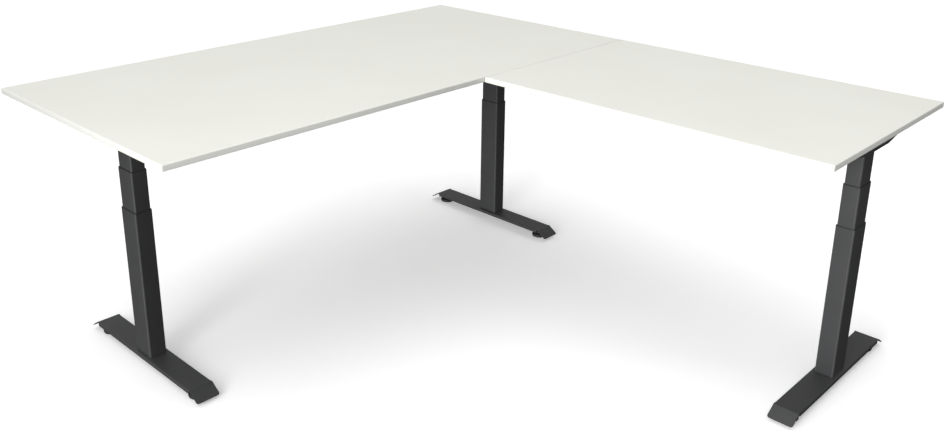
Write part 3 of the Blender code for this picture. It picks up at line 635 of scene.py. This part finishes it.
class Leg:
    """Where one leg stands, read from its nodes."""

    def __init__(self, side):
        self.side = side
        self.place = midway(*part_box(f"{side}_outer_tube")) @ lengthwise(*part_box(f"{side}_foot"))
        rail_low, rail_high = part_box("main_rail_back")
        rail = self.place.inverted() @ ((rail_low + rail_high) / 2)
        self.out = 1 if rail.y > 0 else -1
        self.base = f"{side}_base"
        self.middle = f"{side}_middle"

    def node(self, part):
        return f"{self.side}_{part}"

    def box(self, part):
        """A node's lowest and highest corners in the leg's own frame."""
        low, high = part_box(self.node(part))
        back = self.place.inverted()
        a = back @ low
        b = back @ high
        return Vector(map(min, a, b)), Vector(map(max, a, b))

    def size(self, part, margin=0.0):
        """A node's length and width in the leg's own frame, less a margin on every side."""
        low, high = self.box(part)
        return high.x - low.x - 2 * margin, high.y - low.y - 2 * margin


def foot_skin(leg):
    """The foot's outer surface: the flat, the two folded flanges and the two bent flaps."""
    tip, half, top = leg.box("foot")[1]
    bend = tip - FLAP_RUN
    slope = math.atan2(FLAP_DROP, FLAP_RUN)
    radius = FLAP_BEND_RADIUS
    fold = FOOT_BEND_RADIUS
    shoulder = half - fold
    steps = 8
    bm = bmesh.new()

    centre_x = bend - radius * math.tan(slope / 2)
    flap = [(FLANGE_HALF_LENGTH + 0.0006, top)]
    for i in range(steps + 1):
        turn = math.radians(90) - slope * i / steps
        flap.append((centre_x + radius * math.cos(turn), top - radius + radius * math.sin(turn)))
    drop = math.tan(slope)
    corner_run = FLAP_CORNER * math.cos(slope)
    for i in range(steps + 1):
        x = tip - corner_run * (1 - math.sin(math.radians(90) * i / steps))
        flap.append((x, top - (x - bend) * drop))

    def half_width(x):
        into = max(0.0, x - (tip - corner_run)) / corner_run
        return half - FLAP_CORNER * (1 - math.sqrt(max(0.0, 1 - into * into)))

    columns = (-1.0, -shoulder / half, -0.5, 0.0, 0.5, shoulder / half, 1.0)
    edges = {}
    for end in (-1, 1):
        previous = None
        for x, z in flap:
            row = [bm.verts.new((end * x, t * half_width(x), z)) for t in columns]
            bridge(bm, previous, row)
            edges.setdefault(end, row)
            previous = row

    flange_bottom = top - FLANGE_DEPTH
    side_points = [(shoulder + fold * s, top - fold + fold * c) for c, s in quarter_turn(6)[1:]]
    side_points.append((half, flange_bottom))
    rows = {}
    for end in (-1, 1):
        x = end * FLANGE_HALF_LENGTH
        middle = [bm.verts.new((x, t * half, top)) for t in columns[1:-1]]
        right = [bm.verts.new((x, y, z)) for y, z in side_points]
        left = [bm.verts.new((x, -y, z)) for y, z in side_points]
        rows[end] = [*reversed(left), *middle, *right]
        bridge(bm, middle, edges[end][1:-1])
    bridge(bm, rows[-1], rows[1])
    return bm


def foot(leg):
    """The folded foot, with a threaded bush welded under it for each leveller."""
    folded_foot = folded(
        leg.node("folded_foot"), foot_skin(leg), leg.place, leg.base, leg.node("foot"), FOOT_SHEET
    )
    bevel(folded_foot, 0.0005, 50)

    under = leg.box("foot")[1].z - FOOT_SHEET
    bush = [(0.0044, 0.022), (0.0073, 0.022), (0.0080, 0.0227), (0.0080, under - 0.0022)]
    bush += [(0.0086, under - 0.0012), (0.0102, under + BITE), (0.0044, under + BITE)]
    for name in ("front", "back"):
        x = sum(leg.box(f"leveller_{name}")[i].x for i in (0, 1)) / 2
        made = turned(bush, 40, ring=True)
        finished(leg.node(f"welded_bush_{name}"), made, COAT, leg.base, at=leg.place @ moved(x, 0, 0))


def leveller(leg, name):
    """A moulded disc with a rubber sole and a wrench hexagon, on a threaded steel stud."""
    low, high = leg.box(f"leveller_{name}")
    radius = (high.x - low.x) / 2
    at = leg.place @ midway(low, high)
    body = leg.node(f"leveller_{name}")

    edge = radius - 0.0008
    sole = turned([(radius - 0.0022, 0.0), (radius - 0.0012, 0.0003), (edge, 0.0012), (edge, 0.0026)], 72)
    finished(leg.node(f"leveller_sole_{name}"), sole, RUBBER, body, at=at)

    profile = [(radius - 0.0006, 0.0027), (radius, 0.0033)]
    profile += [(radius - 0.004 * (1 - c), 0.0078 + 0.0042 * s) for c, s in quarter_turn(6)]
    profile += [(0.0125, 0.0120), (0.0118, 0.0117), (0.0110, 0.0117), (0.0102, 0.0120)]
    disc = turned(profile, 72)
    finished(leg.node(f"leveller_disc_{name}"), disc, PLASTIC, body, (body,), at=at)

    across = 0.0145
    bm = formed([(hexagon(across), 0.0119), (hexagon(across), 0.0136), (hexagon(across - 0.0012), 0.0142)])
    finished(leg.node(f"leveller_hexagon_{name}"), bm, ZINC, body, soften=0.0002, at=at)

    pitch = 0.00125
    crest = 0.0040
    root = 0.0034
    start = 0.0142
    profile = [(root, start - BITE)]
    for i in range(int((high.z - start) / pitch)):
        z = start + i * pitch
        profile += [(root, z + 0.0001), (crest, z + 0.0005), (crest, z + 0.0007), (root, z + 0.0011)]
    profile += [(root, high.z - 0.0004), (root - 0.0005, high.z)]
    finished(leg.node(f"leveller_stud_{name}"), turned(profile, 24), ZINC, body, at=at, corner=20)


def stage(leg, part, body):
    """A rounded tube as one stage of the column, painted lighter at its corners as a highlight, with some
    wear.
    """
    low, high = leg.box(part)
    if part == "inner_tube":
        size = leg.size("mid_glides", STAGE_STEP)
        top = high.z - HEAD_PLATE + BITE
    else:
        size = leg.size(part)
        top = high.z
    soft = 0.0003
    rim = shrunk(*size, TUBE_RADIUS, soft)
    outer = rounded(*size, TUBE_RADIUS)
    inner = shrunk(*size, TUBE_RADIUS, TUBE_WALL)
    outside = [(rim, low.z), (outer, low.z + soft), (outer, top - soft), (rim, top)]
    bm = formed([*outside, (inner, top), (inner, low.z)], ring=True)
    name = leg.node(f"{part}_finished")
    made = finished(name, bm, TUBE_COAT, body, (leg.node(part),), at=leg.place, corner=25)
    back = leg.place.inverted()

    def at_corner(point):
        at = back @ point
        return min(abs(at.x) - size[0] / 2, abs(at.y) - size[1] / 2) + TUBE_RADIUS > 0.0002

    # Marks the rounded corners for the painted highlight with wear.
    mark(made, WORN_AND_HIGHLIT, at_corner)


def floor_plate(leg, name, size, low, high, bore, body, material):
    """A plate inside a tube, bored for the screws."""
    steps = 12
    hole = circle(bore, 4 * steps + 4)
    across = [side - 2 * TUBE_WALL + 2 * BITE for side in size]
    edge = rounded(*across, TUBE_RADIUS - TUBE_WALL, steps)
    first = min(range(len(edge)), key=lambda i: abs(math.atan2(edge[i][1], edge[i][0])))
    edge = edge[first:] + edge[:first]
    bm = formed([(edge, low), (edge, high), (hole, high), (hole, low)], ring=True)
    finished(leg.node(name), bm, material, body, at=leg.place)


def glide(leg, part, body):
    """The sleeve in a tube's mouth, with its chamfered lip."""
    low, high = leg.box(part)
    size = leg.size(part)
    moving = leg.size(part, STAGE_STEP)
    top = high.z
    lip_bottom = top - GLIDE_LIP
    clearance = STAGE_STEP - TUBE_WALL - GAP

    def about_moving(room, radius=TUBE_RADIUS):
        return rounded(moving[0] + 2 * room, moving[1] + 2 * room, radius)

    sleeve = about_moving(clearance, TUBE_RADIUS - TUBE_WALL)
    inner = about_moving(GAP)
    sections = [(sleeve, low.z), (sleeve, lip_bottom), (rounded(*size, TUBE_RADIUS), lip_bottom)]
    sections += eased_above(lambda amount: shrunk(*size, TUBE_RADIUS, amount), GLIDE_CHAMFER, top, 4)
    sections += [(about_moving(GAP + 0.0003), top), (inner, top - 0.0004), (inner, low.z)]
    bm = formed(sections, ring=True)
    finished(leg.node(f"{part}_moulded"), bm, PLASTIC, body, (leg.node(part),), at=leg.place, corner=40)


def head_plate(leg):
    """The plate welded on the inner tube, its weld, and the four screws up into the gearbox."""
    high = leg.box("inner_tube")[1]
    bottom = high.z - HEAD_PLATE
    plate = slab(rounded(*leg.size("inner_tube"), 0.004), bottom, high.z)
    made = finished(leg.node("head_plate"), plate, COAT, "top", soften=0.0005, at=leg.place)
    made.modifiers[0].segments = 3

    size = leg.size("mid_glides", STAGE_STEP)
    bead = 0.0016
    sections = [(shrunk(*size, TUBE_RADIUS, -x), bottom + 0.8 * z) for x, z in circle(bead, 8)]
    bm = formed(sections, ring=True)
    finished(leg.node("head_weld"), bm, COAT, "top", at=leg.place, corner=60)

    places = [leg.place @ moved(x, y, bottom - BITE) for x in (-0.0445, 0.0445) for y in (-0.0205, 0.0205)]
    copies(SMALL_SOCKET_SCREW, leg.node("head_screw"), places, "top")


def side_bracket(leg):
    """The folded channel over the head of the column."""
    low, high = leg.box("side_bracket")
    half = high.y
    end = high.x
    near, far = BRACKET_FLAT
    slope = math.tan(math.radians(10.6))
    front = (-end, low.z + (end + near) * slope)
    rear = (end, low.z + (end - far) * slope)
    bm = bmesh.new()
    channel(bm, (front, (near, low.z), (far, low.z), rear), half, high.z, 0.0035)
    made = folded(leg.node("bracket"), bm, leg.place, "top", leg.node("side_bracket"), BRACKET_SHEET)
    hole_x, hole_z = CABLE_HOLE
    hole = leg.place @ moved(hole_x, leg.out * half, hole_z)
    cut(made, turned([(0.0055, -0.008), (0.0055, 0.008)], 32), hole @ ALONG_Y)
    bevel(made, 0.0005, 50)

    profile = [(0.0032, -0.0040), (0.0066, -0.0040), (0.0072, -0.0034), (0.0054, -0.0031)]
    profile += [(0.0054, 0.0001), (0.0072, 0.0004), (0.0066, 0.0012), (0.0032, 0.0012)]
    grommet = turned(profile, 32, ring=True)
    finished(leg.node("grommet"), grommet, RUBBER, "top", at=hole @ spun(-90 * leg.out, "X"), corner=50)

    places = [leg.place @ moved(x, 0, high.z - BRACKET_SHEET - BITE) for x in BRACKET_SCREWS]
    copies(WOOD_SCREW, leg.node("bracket_screw"), places, "top")


def motor(leg):
    """A drawn can with its end cap, through bolts and cable boss."""
    low, high = leg.box("motor")
    radius = high.y
    at = leg.place @ moved(0, 0, (low.z + high.z) / 2) @ ALONG_X
    start, end = low.x, high.x
    cap = end - 0.020
    neck = radius - 0.0030
    profile = [(radius - 0.0045, start), (neck, start + 0.0004), (neck, start + 0.0056)]
    profile += [(radius - 0.0012, start + 0.0060), (radius, start + 0.0072), (radius, cap - 0.0010)]
    profile += [(radius - 0.0006, cap - 0.0004), (radius - 0.0006, cap)]
    finished(leg.node("motor_can"), turned(profile, 72), MOTOR, "top", (leg.node("motor"),), at=at, corner=30)
    profile = [(radius - 0.0005, cap + BITE), (radius, cap + 0.0006), (radius, end - 0.0105)]
    profile += [(radius - 0.0010, end - 0.0095), (radius - 0.0020, end - 0.0085)]
    profile += [(radius - 0.0020, end - 0.0020), (radius - 0.0040, end - 0.0003)]
    profile += [(0.0085, end - 0.0003), (0.0080, end)]
    finished(leg.node("motor_cap"), turned(profile, 72), PLASTIC, "top", at=at, corner=30)
    seat = moved(radius * 0.66, 0, end - 0.0003) @ UPSIDE_DOWN
    places = [at @ spun(angle, "Z") @ seat for angle in (45, 135, 225, 315)]
    copies(TINY_SCREW, leg.node("motor_screw"), places, "top")


def gearbox(leg):
    """The die-cast housing, with its lid and ribs."""
    low, high = leg.box("gearbox")
    size = leg.size("gearbox")
    split = high.z - 0.014
    housing = slab(rounded(*size, 0.008), low.z, split - 0.0002)
    name = leg.node("gearbox_body")
    finished(name, housing, CAST, "top", (leg.node("gearbox"),), soften=0.0006, at=leg.place)
    lid = rounded(size[0] - 0.0008, size[1] - 0.0008, 0.0076)
    crown = rounded(size[0] - 0.006, size[1] - 0.006, 0.006)
    bm = formed([(lid, split + 0.0002), (lid, high.z - 0.003), (crown, high.z)])
    finished(leg.node("gearbox_lid"), bm, CAST, "top", soften=0.0005, at=leg.place)
    bm = bmesh.new()
    reach = size[1] / 2 + 0.0006
    for x in (-0.026, -0.013, 0.0, 0.013, 0.026):
        block(bm, (x - 0.001, -reach, low.z + 0.006), (x + 0.001, reach, split - 0.004))
    finished(leg.node("gearbox_ribs"), bm, CAST, "top", soften=0.0003, at=leg.place)


def lifting_screws(leg):
    """The fixed lower screw, and the hollow one that turns about it, with their threads."""
    low, high = leg.box("lower_screw")
    start = low.z + 0.003
    profile = [(0.0118, low.z), (0.012, low.z + 0.0002), (0.012, start)]
    profile += thread(start, high.z, 0.007, 0.0008, 0.004)
    lifting_screw(leg, "lower_screw", leg.base, turned(profile, 24))

    low, high = leg.box("mid_screw")
    start = low.z + 0.0103
    socket = low.z + 0.0275
    profile = [(0.0074, low.z), (0.010, low.z), (0.010, start - 0.004)]
    profile += [(0.016, start - 0.004), (0.016, start)]
    profile += thread(start, high.z, 0.012, 0.0010, 0.005)
    profile += [(0.0094, high.z), (0.0094, socket), (0.0074, socket)]
    lifting_screw(leg, "mid_screw", leg.node("mid_screw"), turned(profile, 24, ring=True))


def thread(start, end, radius, depth, pitch):
    """The outline of a thread's turns, and of the plain end above them."""
    root = radius - depth
    profile = []
    for i in range(int((end - start - 0.004) / pitch)):
        z = start + 0.001 + i * pitch
        profile += [(root, z), (root, z + pitch * 0.30)]
        profile += [(radius, z + pitch * 0.42), (radius, z + pitch * 0.88)]
    return [*profile, (root, end - 0.002), (root, end)]


def lifting_screw(leg, part, body, bm):
    finished(leg.node(f"{part}_threaded"), bm, SCREW, body, (leg.node(part),), at=leg.place, corner=25)


def build_leg(side):
    leg = Leg(side)
    foot(leg)
    leveller(leg, "front")
    leveller(leg, "back")
    stage(leg, "outer_tube", leg.base)
    stage(leg, "mid_tube", leg.middle)
    stage(leg, "inner_tube", "top")
    for part, tall, bore, body in (
        ("outer_tube", 0.008, 0.004, leg.base),
        ("mid_tube", 0.006, 0.0104, leg.middle),
    ):
        low = leg.box(part)[0].z
        floor_plate(leg, f"{part}_floor", leg.size(part), low + BITE, low + tall, bore, body, COAT)
    low = leg.box("inner_tube")[0].z
    size = leg.size("mid_glides", STAGE_STEP)
    floor_plate(leg, "lift_nut", size, low + BITE, low + 0.025, 0.0124, "top", PLASTIC)
    glide(leg, "outer_glides", leg.base)
    glide(leg, "mid_glides", leg.middle)
    head_plate(leg)
    lifting_screws(leg)
    gearbox(leg)
    motor(leg)
    side_bracket(leg)
    sheet_under = leg.box("foot")[1].z - FOOT_SHEET
    places = [leg.place @ moved(x, y, sheet_under) for x, y in BASE_SCREWS]
    copies(BASE_SCREW, leg.node("base_screw"), places, leg.base)
    return leg


# Rails, plate and tops


def rail(node):
    """A folded channel, open below, with an end plate at each end, its bolts and its nuts."""
    low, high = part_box(node)
    size = high - low
    length = max(size.x, size.y)
    half = min(size.x, size.y) / 2
    place = midway(low, high) @ lengthwise(low, high)
    bm = bmesh.new()
    reach = length / 2 - BITE
    channel(bm, ((-reach, low.z), (reach, low.z)), half, high.z, 0.0025)
    bevel(folded(f"{node}_channel", bm, place, "top", node, RAIL_SHEET), 0.0004, 50)

    middle = (low.z + high.z) / 2
    plate = rounded(2 * half - 2 * RAIL_SHEET + 2 * BITE, size.z - RAIL_SHEET, 0.0015, 4)
    thick = RAIL_END_PLATE / 2 - BITE
    bolts = []
    nuts = []
    for end, where in ((-1, "start"), (1, "stop")):
        at = place @ moved(end * (length / 2 - RAIL_END_PLATE / 2), 0, middle - RAIL_SHEET / 2)
        bm = slab(plate, -thick, thick, at @ spun(90, "Z") @ STANDING)
        finished(f"{node}_end_plate_{where}", bm, COAT, "top", soften=0.0003)
        inward = place @ moved(end * length / 2, 0, middle) @ spun(-90 * end, "Y")
        meets_rail = node.startswith("return") and end > 0
        wall = RAIL_SHEET if meets_rail else BRACKET_SHEET
        bolts.append(inward @ moved(0, 0, -GAP - wall - BITE))
        nuts.append(inward @ moved(0, 0, RAIL_END_PLATE + BITE))
    copies(RAIL_BOLT, f"{node}_bolt", bolts, "top")
    copies(RAIL_NUT, f"{node}_nut", nuts, "top")


def worktop(board_node, band_node, name, open_joint=0.0):
    """A melamine-faced board and the band round it, with the glue line as a hairline between them.

    The +Y edge stands back by open_joint, where another top meets it, and is painted near-black inside the
    joint: painted shade in the gap, with some dust.
    """
    low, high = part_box(band_node)
    high.y -= open_joint
    at = midway(low, high)
    chamfer = 0.00012
    glued = BAND_THICKNESS + 0.00008

    def drawn_in(amount):
        corner = max(0.0035 - amount, 0.0004)
        return rounded(high.x - low.x - 2 * amount, high.y - low.y - 2 * amount, corner)

    small = drawn_in(glued + chamfer)
    large = drawn_in(glued)
    bm = formed([(small, low.z), (large, low.z + chamfer), (large, high.z - chamfer), (small, high.z)], at)
    finished(f"{name}_board", bm, BOARD, "top", (board_node,), corner=30)

    soft = 0.0019
    sections = eased_below(drawn_in, soft, low.z, 8) + eased_above(drawn_in, soft, high.z, 8)
    sections += [(drawn_in(BAND_THICKNESS), high.z), (drawn_in(BAND_THICKNESS), low.z)]
    bm = formed(sections, at, ring=True)
    made = finished(f"{name}_banding", bm, BAND, "top", (band_node,), corner=60)
    if open_joint:
        # Marks the band inside the joint for the painted shade with dust.
        mark(made, DUST_AND_SHADE, lambda point: point.y > high.y - 0.0005 and point.z < high.z - 0.0004)


def joining_plate():
    low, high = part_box("joining_plate")
    at = midway(low, high)
    plate = slab(rounded(high.x - low.x, high.y - low.y, 0.006), low.z, high.z)
    finished("seam_plate", plate, ZINC, "top", ("joining_plate",), soften=0.0004, at=at)
    along = (-0.310, -0.190, 0.0, 0.190, 0.310)
    places = [at @ moved(x, y, low.z - BITE) for x in along for y in (-0.045, 0.045)]
    copies(WOOD_SCREW, "seam_screw", places, "top")


# Control box, handset and cables


def control_box():
    """A two-part case with vents, an inlet with its pins, and an eared base plate."""
    low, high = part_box("control_box")
    ear = 0.020
    length = high.x - low.x - 2 * ear
    width = high.y - low.y
    place = midway(low, high)
    split = high.z - 0.012

    def case(amount):
        return shrunk(length, width, 0.007, amount)

    bm = formed([*eased_below(case, 0.004, low.z), (case(0.0), split - 0.0004), (case(0.0005), split)])
    shell = finished("control_box_shell", bm, CASE, "top", ("control_box",), at=place, corner=30)

    inlet = (low.z + high.z) / 2 - 0.003
    bm = bmesh.new()
    block(bm, (-length / 2 - 0.01, -0.0133, inlet - 0.0098), (-length / 2 + 0.016, 0.0133, inlet + 0.0098))
    cut(shell, bm, place)
    bm = bmesh.new()
    for i in range(9):
        x = -0.048 + i * 0.012
        block(bm, (x - 0.0015, -0.028, low.z - 0.004), (x + 0.0015, 0.028, low.z + 0.0014))
    cut(shell, bm, place)
    crease(shell)

    lid = slab(case(0.0), split + 0.0002, high.z)
    finished("control_box_base", lid, CASE, "top", soften=0.0004, at=place)
    ears = slab(rounded(length + 2 * ear, 0.040, 0.008), high.z - 0.003, high.z)
    finished("control_box_ears", ears, CASE, "top", soften=0.0004, at=place)

    outer = rounded(0.0330, 0.0255, 0.003, 4)
    mouth = rounded(0.0262, 0.0190, 0.003, 4)
    deep = rounded(0.0254, 0.0182, 0.003, 4)
    at = place @ moved(-length / 2, 0, inlet) @ spun(-90, "Y") @ spun(90, "Z")
    sections = [(outer, -0.0005), (outer, 0.0008), (mouth, 0.0012), (deep, 0.0), (deep, -0.0150)]
    bm = formed([*sections, (mouth, -0.0155)], at, ring=True)
    finished("inlet_shroud", bm, PLASTIC, "top", corner=30)
    finished("inlet_floor", slab(mouth, -0.0158, -0.0148, at), PLASTIC, "top")
    bm = bmesh.new()
    pin = rounded(0.002, 0.004, 0.0007, 4)
    for across, up in ((-0.007, -0.002), (0.007, -0.002), (0.0, 0.003)):
        shaft = [(x + across, y + up) for x, y in pin]
        tip = [(x * 0.7 + across, y * 0.8 + up) for x, y in pin]
        skin(bm, [(shaft, -0.0150), (shaft, -0.0035), (tip, -0.0025)], at)
    finished("inlet_pins", bm, BRASS, "top", corner=30)

    places = [place @ moved(end * (length + ear) / 2, 0, high.z - 0.0031) for end in (-1, 1)]
    copies(WOOD_SCREW, "control_box_screw", places, "top")


def handset():
    """The switch's case, with its two buttons and their arrows."""
    low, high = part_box("handset")
    length, width, height = high - low
    front = width / 2

    def case_outline(amount):
        return shrunk(length, height, 0.005, amount)

    bm = formed(eased_below(case_outline, 0.0025, -front) + eased_above(case_outline, 0.0015, front))
    at = Matrix.Translation((low + high) / 2) @ STANDING
    case = finished("handset_case", bm, CASE, "top", ("handset",), at=at, corner=30)
    room = Vector((0.0004, 0.0, 0.0004))
    bm = bmesh.new()
    for name in ("button_up", "button_down"):
        start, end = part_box(name)
        start = start - room
        end = end + room
        block(bm, (start.x, low.y - 0.01, start.z), (end.x, low.y + 0.0045, end.z))
    cut(case, bm)
    crease(case)

    for name, point in (("button_up", 1), ("button_down", -1)):
        start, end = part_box(name)
        size = end - start
        at = moved((start.x + end.x) / 2, start.y, (start.z + end.z) / 2) @ STANDING

        def cap_outline(amount):
            return shrunk(size.x, size.z, 0.002, 0.9 * amount)

        bm = formed([(cap_outline(0.0), -size.y), *eased_above(cap_outline, 0.0010, 0.0, 5)], at)
        finished(f"{name}_cap", bm, PLASTIC, name, (name,), corner=30)
        arrow = [(-0.0022, -0.0012 * point), (0.0022, -0.0012 * point), (0.0, 0.0020 * point)]
        finished(f"{name}_arrow", slab(arrow, -0.0002, 0.00001, at), MARK, name, corner=30)


def smooth_run(points, step):
    """A smooth curve through listed points."""
    padded = [2 * points[0] - points[1], *points, 2 * points[-1] - points[-2]]
    run = []
    for before, start, end, after in zip(padded, padded[1:], padded[2:], padded[3:]):
        count = max(3, math.ceil((end - start).length / step))
        for i in range(count):
            t = i / count
            curve = t * (end - before)
            curve += t * t * (2 * before - 5 * start + 4 * end - after)
            curve += t**3 * (3 * start - before - 3 * end + after)
            run.append(start + curve / 2)
    return [*run, points[-1]]


def cable(name, route, radius, node):
    """A round cable along its route."""
    curve = bpy.data.curves.new(name, "CURVE")
    curve.dimensions = "3D"
    curve.bevel_depth = radius
    curve.bevel_resolution = 6
    curve.use_fill_caps = True
    run = smooth_run([Vector(point) for point in route], 0.012)
    spline = curve.splines.new("POLY")
    spline.points.add(len(run) - 1)
    for spot, point in zip(spline.points, run):
        spot.co = (*point, 1.0)
    dress(placed(name, curve), SHEATH, "top", (node,))


def strain_relief(name, at, radius):
    """A short ribbed boot round a cable where it enters a case, its wide end at z = 0."""
    profile = [(radius + 0.0001, 0.0), (radius + 0.0028, 0.0)]
    for i in range(4):
        z = 0.001 + i * 0.0022
        wall = radius + 0.0026 - i * 0.0004
        profile += [(wall, z), (wall, z + 0.0013), (wall - 0.0006, z + 0.0015), (wall - 0.0006, z + 0.0021)]
    profile += [(radius + 0.0007, 0.0110), (radius + 0.0001, 0.0110)]
    finished(name, turned(profile, 32, ring=True), PLASTIC, "top", at=at, corner=25)


def motor_end(leg, height):
    """The first stretch of a motor's cable: out of its end cap and through the bracket's wall."""
    low, high = leg.box("motor")
    half = leg.box("side_bracket")[1].y
    end = high.x
    axis = (low.z + high.z) / 2
    hole_x, hole_z = CABLE_HOLE
    local = (
        (end + 0.0006, 0.0, axis),
        (end + 0.006, 0.0, axis),
        (end + 0.016, 0.002 * leg.out, axis + 0.005),
        (hole_x - 0.006, 0.010 * leg.out, hole_z - 0.006),
        (hole_x, half * leg.out, hole_z),
        (hole_x - 0.006, (half + 0.022) * leg.out, height),
    )
    return [leg.place @ Vector(point) for point in local]


def cables(legs):
    """The motor cables lie on the rails, and the handset's runs straight back to the control box."""
    radius = 0.003
    gap = 0.0006
    rail_low, rail_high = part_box("main_rail_back")
    lying = rail_high.z + GAP + radius
    back = (rail_low.y + rail_high.y) / 2
    rail_edge = rail_low.y
    side_low, side_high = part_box("return_rail_right")
    beside = (side_low.x + side_high.x) / 2
    box_low, box_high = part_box("control_box")
    box_x = (box_low.x + box_high.x) / 2
    box_back = box_high.y + gap
    socket = (box_low.z + box_high.z) / 2

    def into_box(side, socket_x, lane):
        return [
            (socket_x + side * 0.130, lane, lying),
            (socket_x + side * 0.060, lane - 0.006, lying),
            (socket_x + side * 0.022, rail_edge + 0.012, lying),
            (socket_x + side * 0.008, rail_edge - 0.006, lying),
            (socket_x + side * 0.001, box_back + 0.024, socket + 0.005),
            (socket_x, box_back + 0.006, socket),
            (socket_x, box_back, socket),
        ]

    left, corner, right = legs
    left_x = left.place.translation.x
    corner_x = corner.place.translation.x
    right_y = right.place.translation.y
    routes = {
        "left": motor_end(left, lying)
        + [(left_x + 0.100, back + 0.004, lying), (left_x + 0.250, back + 0.004, lying)]
        + into_box(-1, box_x - 0.090, back + 0.004),
        "corner": motor_end(corner, lying)
        + [(corner_x - 0.100, back + 0.008, lying), (corner_x - 0.250, back + 0.008, lying)]
        + [(corner_x - 0.600, back + 0.008, lying)]
        + into_box(1, box_x + 0.010, back + 0.008),
        "right": motor_end(right, lying)
        + [(beside + 0.006, right_y + 0.120, lying), (beside, right_y + 0.300, lying)]
        + [(beside, -0.300, lying), (beside, 0.200, lying), (beside, 0.480, lying)]
        + [(beside - 0.006, 0.640, lying), (beside - 0.050, 0.716, lying)]
        + [(beside - 0.130, back - 0.004, lying), (0.300, back - 0.004, lying)]
        + into_box(1, box_x + 0.100, back - 0.004),
    }
    for side, route in routes.items():
        cable(f"{side}_motor_lead", route, radius, f"{side}_motor_cable")
        end = Matrix.Translation(Vector(route[-1]) - Vector((0, gap, 0)))
        strain_relief(f"{side}_box_boot", end @ ALONG_Y, radius)
    for leg in legs:
        low, high = leg.box("motor")
        at = leg.place @ moved(high.x, 0, (low.z + high.z) / 2) @ ALONG_X
        strain_relief(leg.node("motor_boot"), at, radius)

    thin = 0.002
    low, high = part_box("handset")
    x = (low.x + high.x) / 2
    leave = high.y + gap
    arrive = box_low.y - gap
    height = rail_high.z + GAP + thin
    middle = (low.z + high.z) / 2
    route = [
        (x, leave, middle),
        (x, leave + 0.005, middle),
        (x, leave + 0.024, height - 0.0005),
        (x + 0.010, leave + 0.080, height),
        (x + 0.055, arrive - 0.090, height),
        (x + 0.067, arrive - 0.046, height),
        (x + 0.071, arrive - 0.020, socket + 0.003),
        (x + 0.071, arrive - 0.005, socket),
        (x + 0.071, arrive, socket),
    ]
    cable("handset_lead", route, thin, "handset_cable")
    strain_relief("handset_boot", moved(x, high.y, middle) @ ALONG_Y, thin)
    strain_relief("handset_box_boot", moved(x + 0.071, box_low.y, socket) @ STANDING, thin)


# Stage, lights and camera


def stage_floor():
    bm = bmesh.new()
    half = 30.0
    corners = ((-half, -half), (half, -half), (half, half), (-half, half))
    bm.faces.new([bm.verts.new((x, y, 0.0)) for x, y in corners])
    made = shaped("floor", bm)
    made.data.materials.append(floor_finish())
    made.visible_diffuse = False
    made.visible_glossy = False


def area_light(name, place, target, size, power, spread=180):
    data = bpy.data.lights.new(name, "AREA")
    data.shape = "RECTANGLE"
    data.size, data.size_y = size
    data.energy = power
    data.spread = math.radians(spread)
    made = placed(name, data)
    made.location = place
    aim = Vector(target) - Vector(place)
    made.rotation_euler = aim.to_track_quat("-Z", "Y").to_euler()


def sky():
    """The studio's soft light, brighter from some sides than from others."""
    world = bpy.data.worlds.new("studio")
    world.use_nodes = True
    nodes = world.node_tree.nodes
    links = world.node_tree.links
    toward = nodes.new("ShaderNodeTexCoord").outputs["Generated"]
    total = None
    for direction, sharpness, strength in SKY_LOBES:
        facing = nodes.new("ShaderNodeVectorMath")
        facing.operation = "DOT_PRODUCT"
        facing.inputs[1].default_value = Vector(direction).normalized()
        links.new(toward, facing.inputs[0])
        light = facing.outputs["Value"]
        for operation, number in (("MAXIMUM", 0.0), ("POWER", sharpness), ("MULTIPLY_ADD", strength)):
            step = nodes.new("ShaderNodeMath")
            step.operation = operation
            step.inputs[1].default_value = number
            links.new(light, step.inputs[0])
            light = step.outputs[0]
        step.inputs[2].default_value = 0.0
        if total:
            links.new(total, step.inputs[2])
        total = light
    background = nodes["Background"]
    background.inputs["Color"].default_value = (1.0, 1.0, 1.0, 1.0)
    links.new(total, background.inputs["Strength"])
    bpy.context.scene.world = world


def lights():
    sky()
    for softbox in SOFTBOXES:
        area_light(*softbox)


def camera():
    data = bpy.data.cameras.new("camera")
    data.sensor_width = 36.0
    data.lens = 36.337
    data.shift_x = 0.0246
    data.shift_y = -0.0928
    made = placed("camera", data)
    made.location = (-2.1005, -1.9791, 1.6983)
    yaw, pitch, roll = -45.738, -18.429, 0.275
    made.rotation_euler = (spun(yaw, "Z") @ spun(90 + pitch, "X") @ spun(roll, "Z")).to_euler()
    bpy.context.scene.camera = made


WOOD_SCREW = wood_screw()
BASE_SCREW = socket_screw(0.0065, 0.0050, 0.0100)
SMALL_SOCKET_SCREW = socket_screw(0.0045, 0.0040, 0.0060)
TINY_SCREW = socket_screw(0.0026, 0.0016, 0.0040)
RAIL_BOLT = hexagon_bolt(0.0090, 0.0035, 0.0130)
RAIL_NUT = hexagon_nut(0.0095, 0.0050)

legs = [build_leg(side) for side in SIDES]
for rail_node in ("main_rail_front", "main_rail_back", "return_rail_left", "return_rail_right"):
    rail(rail_node)
worktop("main_top", "main_edge_band", "main")
worktop("return_top", "return_edge_band", "return", OPEN_JOINT)
joining_plate()
control_box()
handset()
cables(legs)
for leg in legs:
    drive_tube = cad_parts[leg.node("drive_tube")]
    drive_tube.data.materials.clear()
    drive_tube.data.materials.append(SCREW)

stage_floor()
lights()
camera()
bpy.context.scene.view_settings.view_transform = "Standard"
